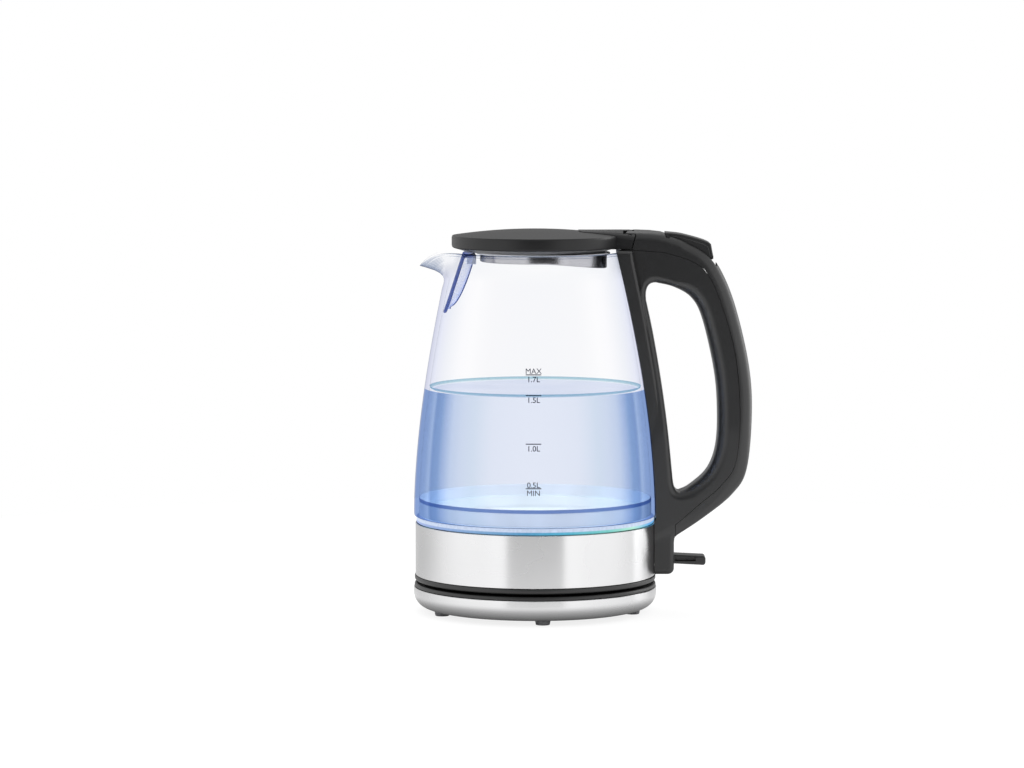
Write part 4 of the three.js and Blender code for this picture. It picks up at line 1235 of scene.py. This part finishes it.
def button_piece():
    top = spline([(84, 247.6), (93, 246.7), (100.8, 244.9), (108.6, 242.6), (112.5, 240.9)])
    shape = [
        *top, (113.6, 239.9), (115.1, 231.6), (112.6, 231.6), (111, 237.8), (107.4, 239.8), (100, 242),
        (92, 243.9), (88.4, 244.1), (84.2, 244.6),
    ]
    button = slab("button", [shape], 2 * KEY_HALF, 0.9)
    skirt = [
        (90, 244.6), (95, 240.6), (104, 236), (110, 231.6), (112.6, 229.6), (115, 230.4), (115.1, 232),
        (113.2, 239.6), (107.4, 241), (100, 243),
    ]
    skirts = [slab("skirt", [skirt], 1.4, y=side * (KEY_HALF - 1)) for side in (-1, 1)]
    trunnion = rod(1.2, -11.8, 11.8, *KEY_PIVOT)
    whole = join("button", button, *skirts, trunnion)
    show("lid_release_button", whole, CHARCOAL, "lid_button", ["lid_button"], 28)


def paddle_piece():
    shape = [
        (82, 34), (90.4, 31.6), (109.6, 30.6), (110.6, 31.2), (111, 32.4), (111, 35), (110.5, 36.1),
        (109.6, 36.6), (90.4, 37.5), (82, 38.3),
    ]
    plate = slab("paddle", [shape], 2 * PADDLE_HALF, 1.0)
    slots = [block(91, 104.6, *sorted((s * 4, s * 8)), 33.2, 35.9) for s in (-1, 1)]
    eye = rod(2.6, -PADDLE_HALF, PADDLE_HALF, PADDLE_X, PADDLE_Z)
    bore = rod(1.55, -15, 15, PADDLE_X, PADDLE_Z)
    paddle = cut("paddle", join("paddle", plate, eye), *slots, bore)
    show("switch_paddle", paddle, CHARCOAL, "power_paddle", ["power_paddle"], 28)


# ---- Carried-over CAD nodes ----

KEPT = {
    BLACK: ["control_body", "lid_latch", "trip_lever"],
    RED_WIRE: ["base_lead_1", "led_lead_1"],
    BLUE_WIRE: ["base_lead_2", "led_lead_2"],
    BOARD: ["led_board"],
    ALUMINIUM: ["heat_spreader"],
    SILICONE: ["steam_tube"],
    SPRING_STEEL: [
        "heating_element", "bimetal_disc_1", "bimetal_disc_2", "trip_pin", "handle_screw_1", "handle_screw_2",
        "lid_hinge_pin", "lid_spring", "button_spring", "paddle_pin", "steam_bimetal",
    ],
}


def dress_kept_nodes():
    for material, names in KEPT.items():
        for name in names:
            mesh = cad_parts[name].data
            mesh.materials.clear()
            mesh.materials.append(material)


# ---- Studio ----

FLOOR_R = 0.65
FLOOR_BOUNCE = 1.5  # radiance of the floor in reflections, in front of the kettle; half of it behind
CARD = 0.152  # half width of the dark card, as a share of half a turn
CARD_TOP = 30  # height of the dark card in degrees
CAMERA_PLACE = (AXIS_X - 0.0151, -2.645, 0.378)
CAMERA_TILT = math.radians(85.04)
CAMERA_LENS = 143.5


def shown_and_felt(nodes, links, shown, felt, output):
    """What the camera sees directly, and what lights the kettle and is reflected in it."""
    path = nodes.new("ShaderNodeLightPath")
    mix = nodes.new("ShaderNodeMixShader")
    links.new(path.outputs["Is Camera Ray"], mix.inputs["Fac"])
    links.new(felt, mix.inputs[1])
    links.new(shown, mix.inputs[2])
    links.new(mix.outputs["Shader"], output.inputs["Surface"])


def floor_disc():
    sides = 96
    points = [(0, 0, 0)]
    for i in range(sides):
        angle = 2 * math.pi * i / sides
        points.append((AXIS_X + FLOOR_R * math.cos(angle), FLOOR_R * math.sin(angle), 0))
    faces = [(0, 1 + i, 1 + (i + 1) % sides) for i in range(sides)]
    floor = bpy.data.meshes.new("floor")
    floor.from_pydata(points, [], faces)
    material, nodes, links = new_material("pale_floor")
    lit_floor = nodes.new("ShaderNodeBsdfPrincipled")
    lit_floor.inputs["Base Color"].default_value = (0.2, 0.2, 0.2, 1)
    lit_floor.inputs["Roughness"].default_value = 0.9
    lit_floor.inputs["Specular IOR Level"].default_value = 0
    lit_floor.inputs["Emission Color"].default_value = (1, 1, 1, 1)
    lit_floor.inputs["Emission Strength"].default_value = 0.84
    bounce = nodes.new("ShaderNodeEmission")
    place = nodes.new("ShaderNodeTexCoord")
    back = remapped(nodes, links, axes(nodes, links)["Y"], -0.12, 0.12, FLOOR_BOUNCE, FLOOR_BOUNCE / 2)
    away = nodes.new("ShaderNodeVectorMath")
    away.operation = "DISTANCE"
    away.inputs[1].default_value = (AXIS_X, 0, 0)
    links.new(place.outputs["Object"], away.inputs[0])
    shade = remapped(nodes, links, away.outputs["Value"], 0.07, 0.11, 0.1)
    links.new(worked_out(nodes, links, "MULTIPLY", back, shade), bounce.inputs["Strength"])
    output = nodes.new("ShaderNodeOutputMaterial")
    shown_and_felt(nodes, links, lit_floor.outputs["BSDF"], bounce.outputs["Emission"], output)
    floor.materials.append(material)
    ground = bpy.data.objects.new("floor", floor)
    scene.collection.objects.link(ground)


def white_room():
    """White all round for the camera; light comes from both sides and above, with a dark card in front."""
    world = bpy.data.worlds.new("studio")
    scene.world = world
    world.use_nodes = True
    nodes, links = world.node_tree.nodes, world.node_tree.links
    view = axes(nodes, links, "Generated")
    turn = worked_out(nodes, links, "ARCTAN2", view["X"], worked_out(nodes, links, "MULTIPLY", view["Y"], -1))
    share = remapped(nodes, links, worked_out(nodes, links, "ABSOLUTE", turn), 0, math.pi)
    around = ramp(nodes, links, share, [
        (CARD - 0.004, grey(0.05)), (CARD + 0.004, grey(1.75)), (0.24, grey(1.6)), (0.27, grey(1.5)),
        (0.55, grey(1.55)), (0.76, grey(0.95)), (0.88, grey(0.7)), (1.0, grey(0.3)),
    ])
    overhead = ramp(nodes, links, share, [(0.0, grey(0.85)), (0.5, grey(1.1)), (1.0, grey(1.3))])
    low, high = [math.sin(math.radians(CARD_TOP + blur)) for blur in (-6, 6)]
    height = remapped(nodes, links, view["Z"], low, high)
    lighting = nodes["Background"]
    links.new(mixed(nodes, links, height, around, overhead), lighting.inputs["Color"])
    seen = nodes.new("ShaderNodeBackground")
    seen.inputs["Color"].default_value = (1, 1, 1, 1)
    output = nodes["World Output"]
    shown_and_felt(nodes, links, seen.outputs["Background"], lighting.outputs["Background"], output)


def grey(level):
    return level, level, level


# Soft boxes: name, azimuth from the camera's side, distance, height of the middle, width, height, radiance.
SOFT_BOXES = [
    ("right_box", 118, 1.2, 0.45, 0.5, 1.0, 2.0),
    ("over_box", -150, 0.5, 1.8, 1.3, 1.0, 1.6),
]


def soft_boxes():
    for name, azimuth, distance, height, width, tall, radiance in SOFT_BOXES:
        turn = math.radians(azimuth)
        lamp = bpy.data.lights.new(name, "AREA")
        lamp.shape = "RECTANGLE"
        lamp.size = width
        lamp.size_y = tall
        lamp.energy = radiance * math.pi * width * tall
        holder = bpy.data.objects.new(name, lamp)
        holder.location = (AXIS_X + distance * math.sin(turn), -distance * math.cos(turn), height)
        aim = Vector((AXIS_X, 0, min(height, 0.5))) - holder.location
        holder.rotation_euler = aim.to_track_quat("-Z", "Y").to_euler()
        scene.collection.objects.link(holder)


def camera():
    data = bpy.data.cameras.new("camera")
    data.lens = CAMERA_LENS
    data.sensor_width = 36
    holder = bpy.data.objects.new("camera", data)
    holder.location = CAMERA_PLACE
    holder.rotation_euler = (CAMERA_TILT, 0, 0)
    scene.collection.objects.link(holder)
    scene.camera = holder


base_pieces()
connector_pieces()
cord_outlet()
glass_jug()
water()
jug_foot_pieces()
gauge_marks()
filter_pieces()
handle_pieces()
lid_pieces()
button_piece()
paddle_piece()
dress_kept_nodes()
floor_disc()
white_room()
soft_boxes()
camera()
scene.cycles.transparent_max_bounces = 32
scene.view_settings.view_transform = "Standard"


def corners(box):
    return [list(corner) for corner in box]
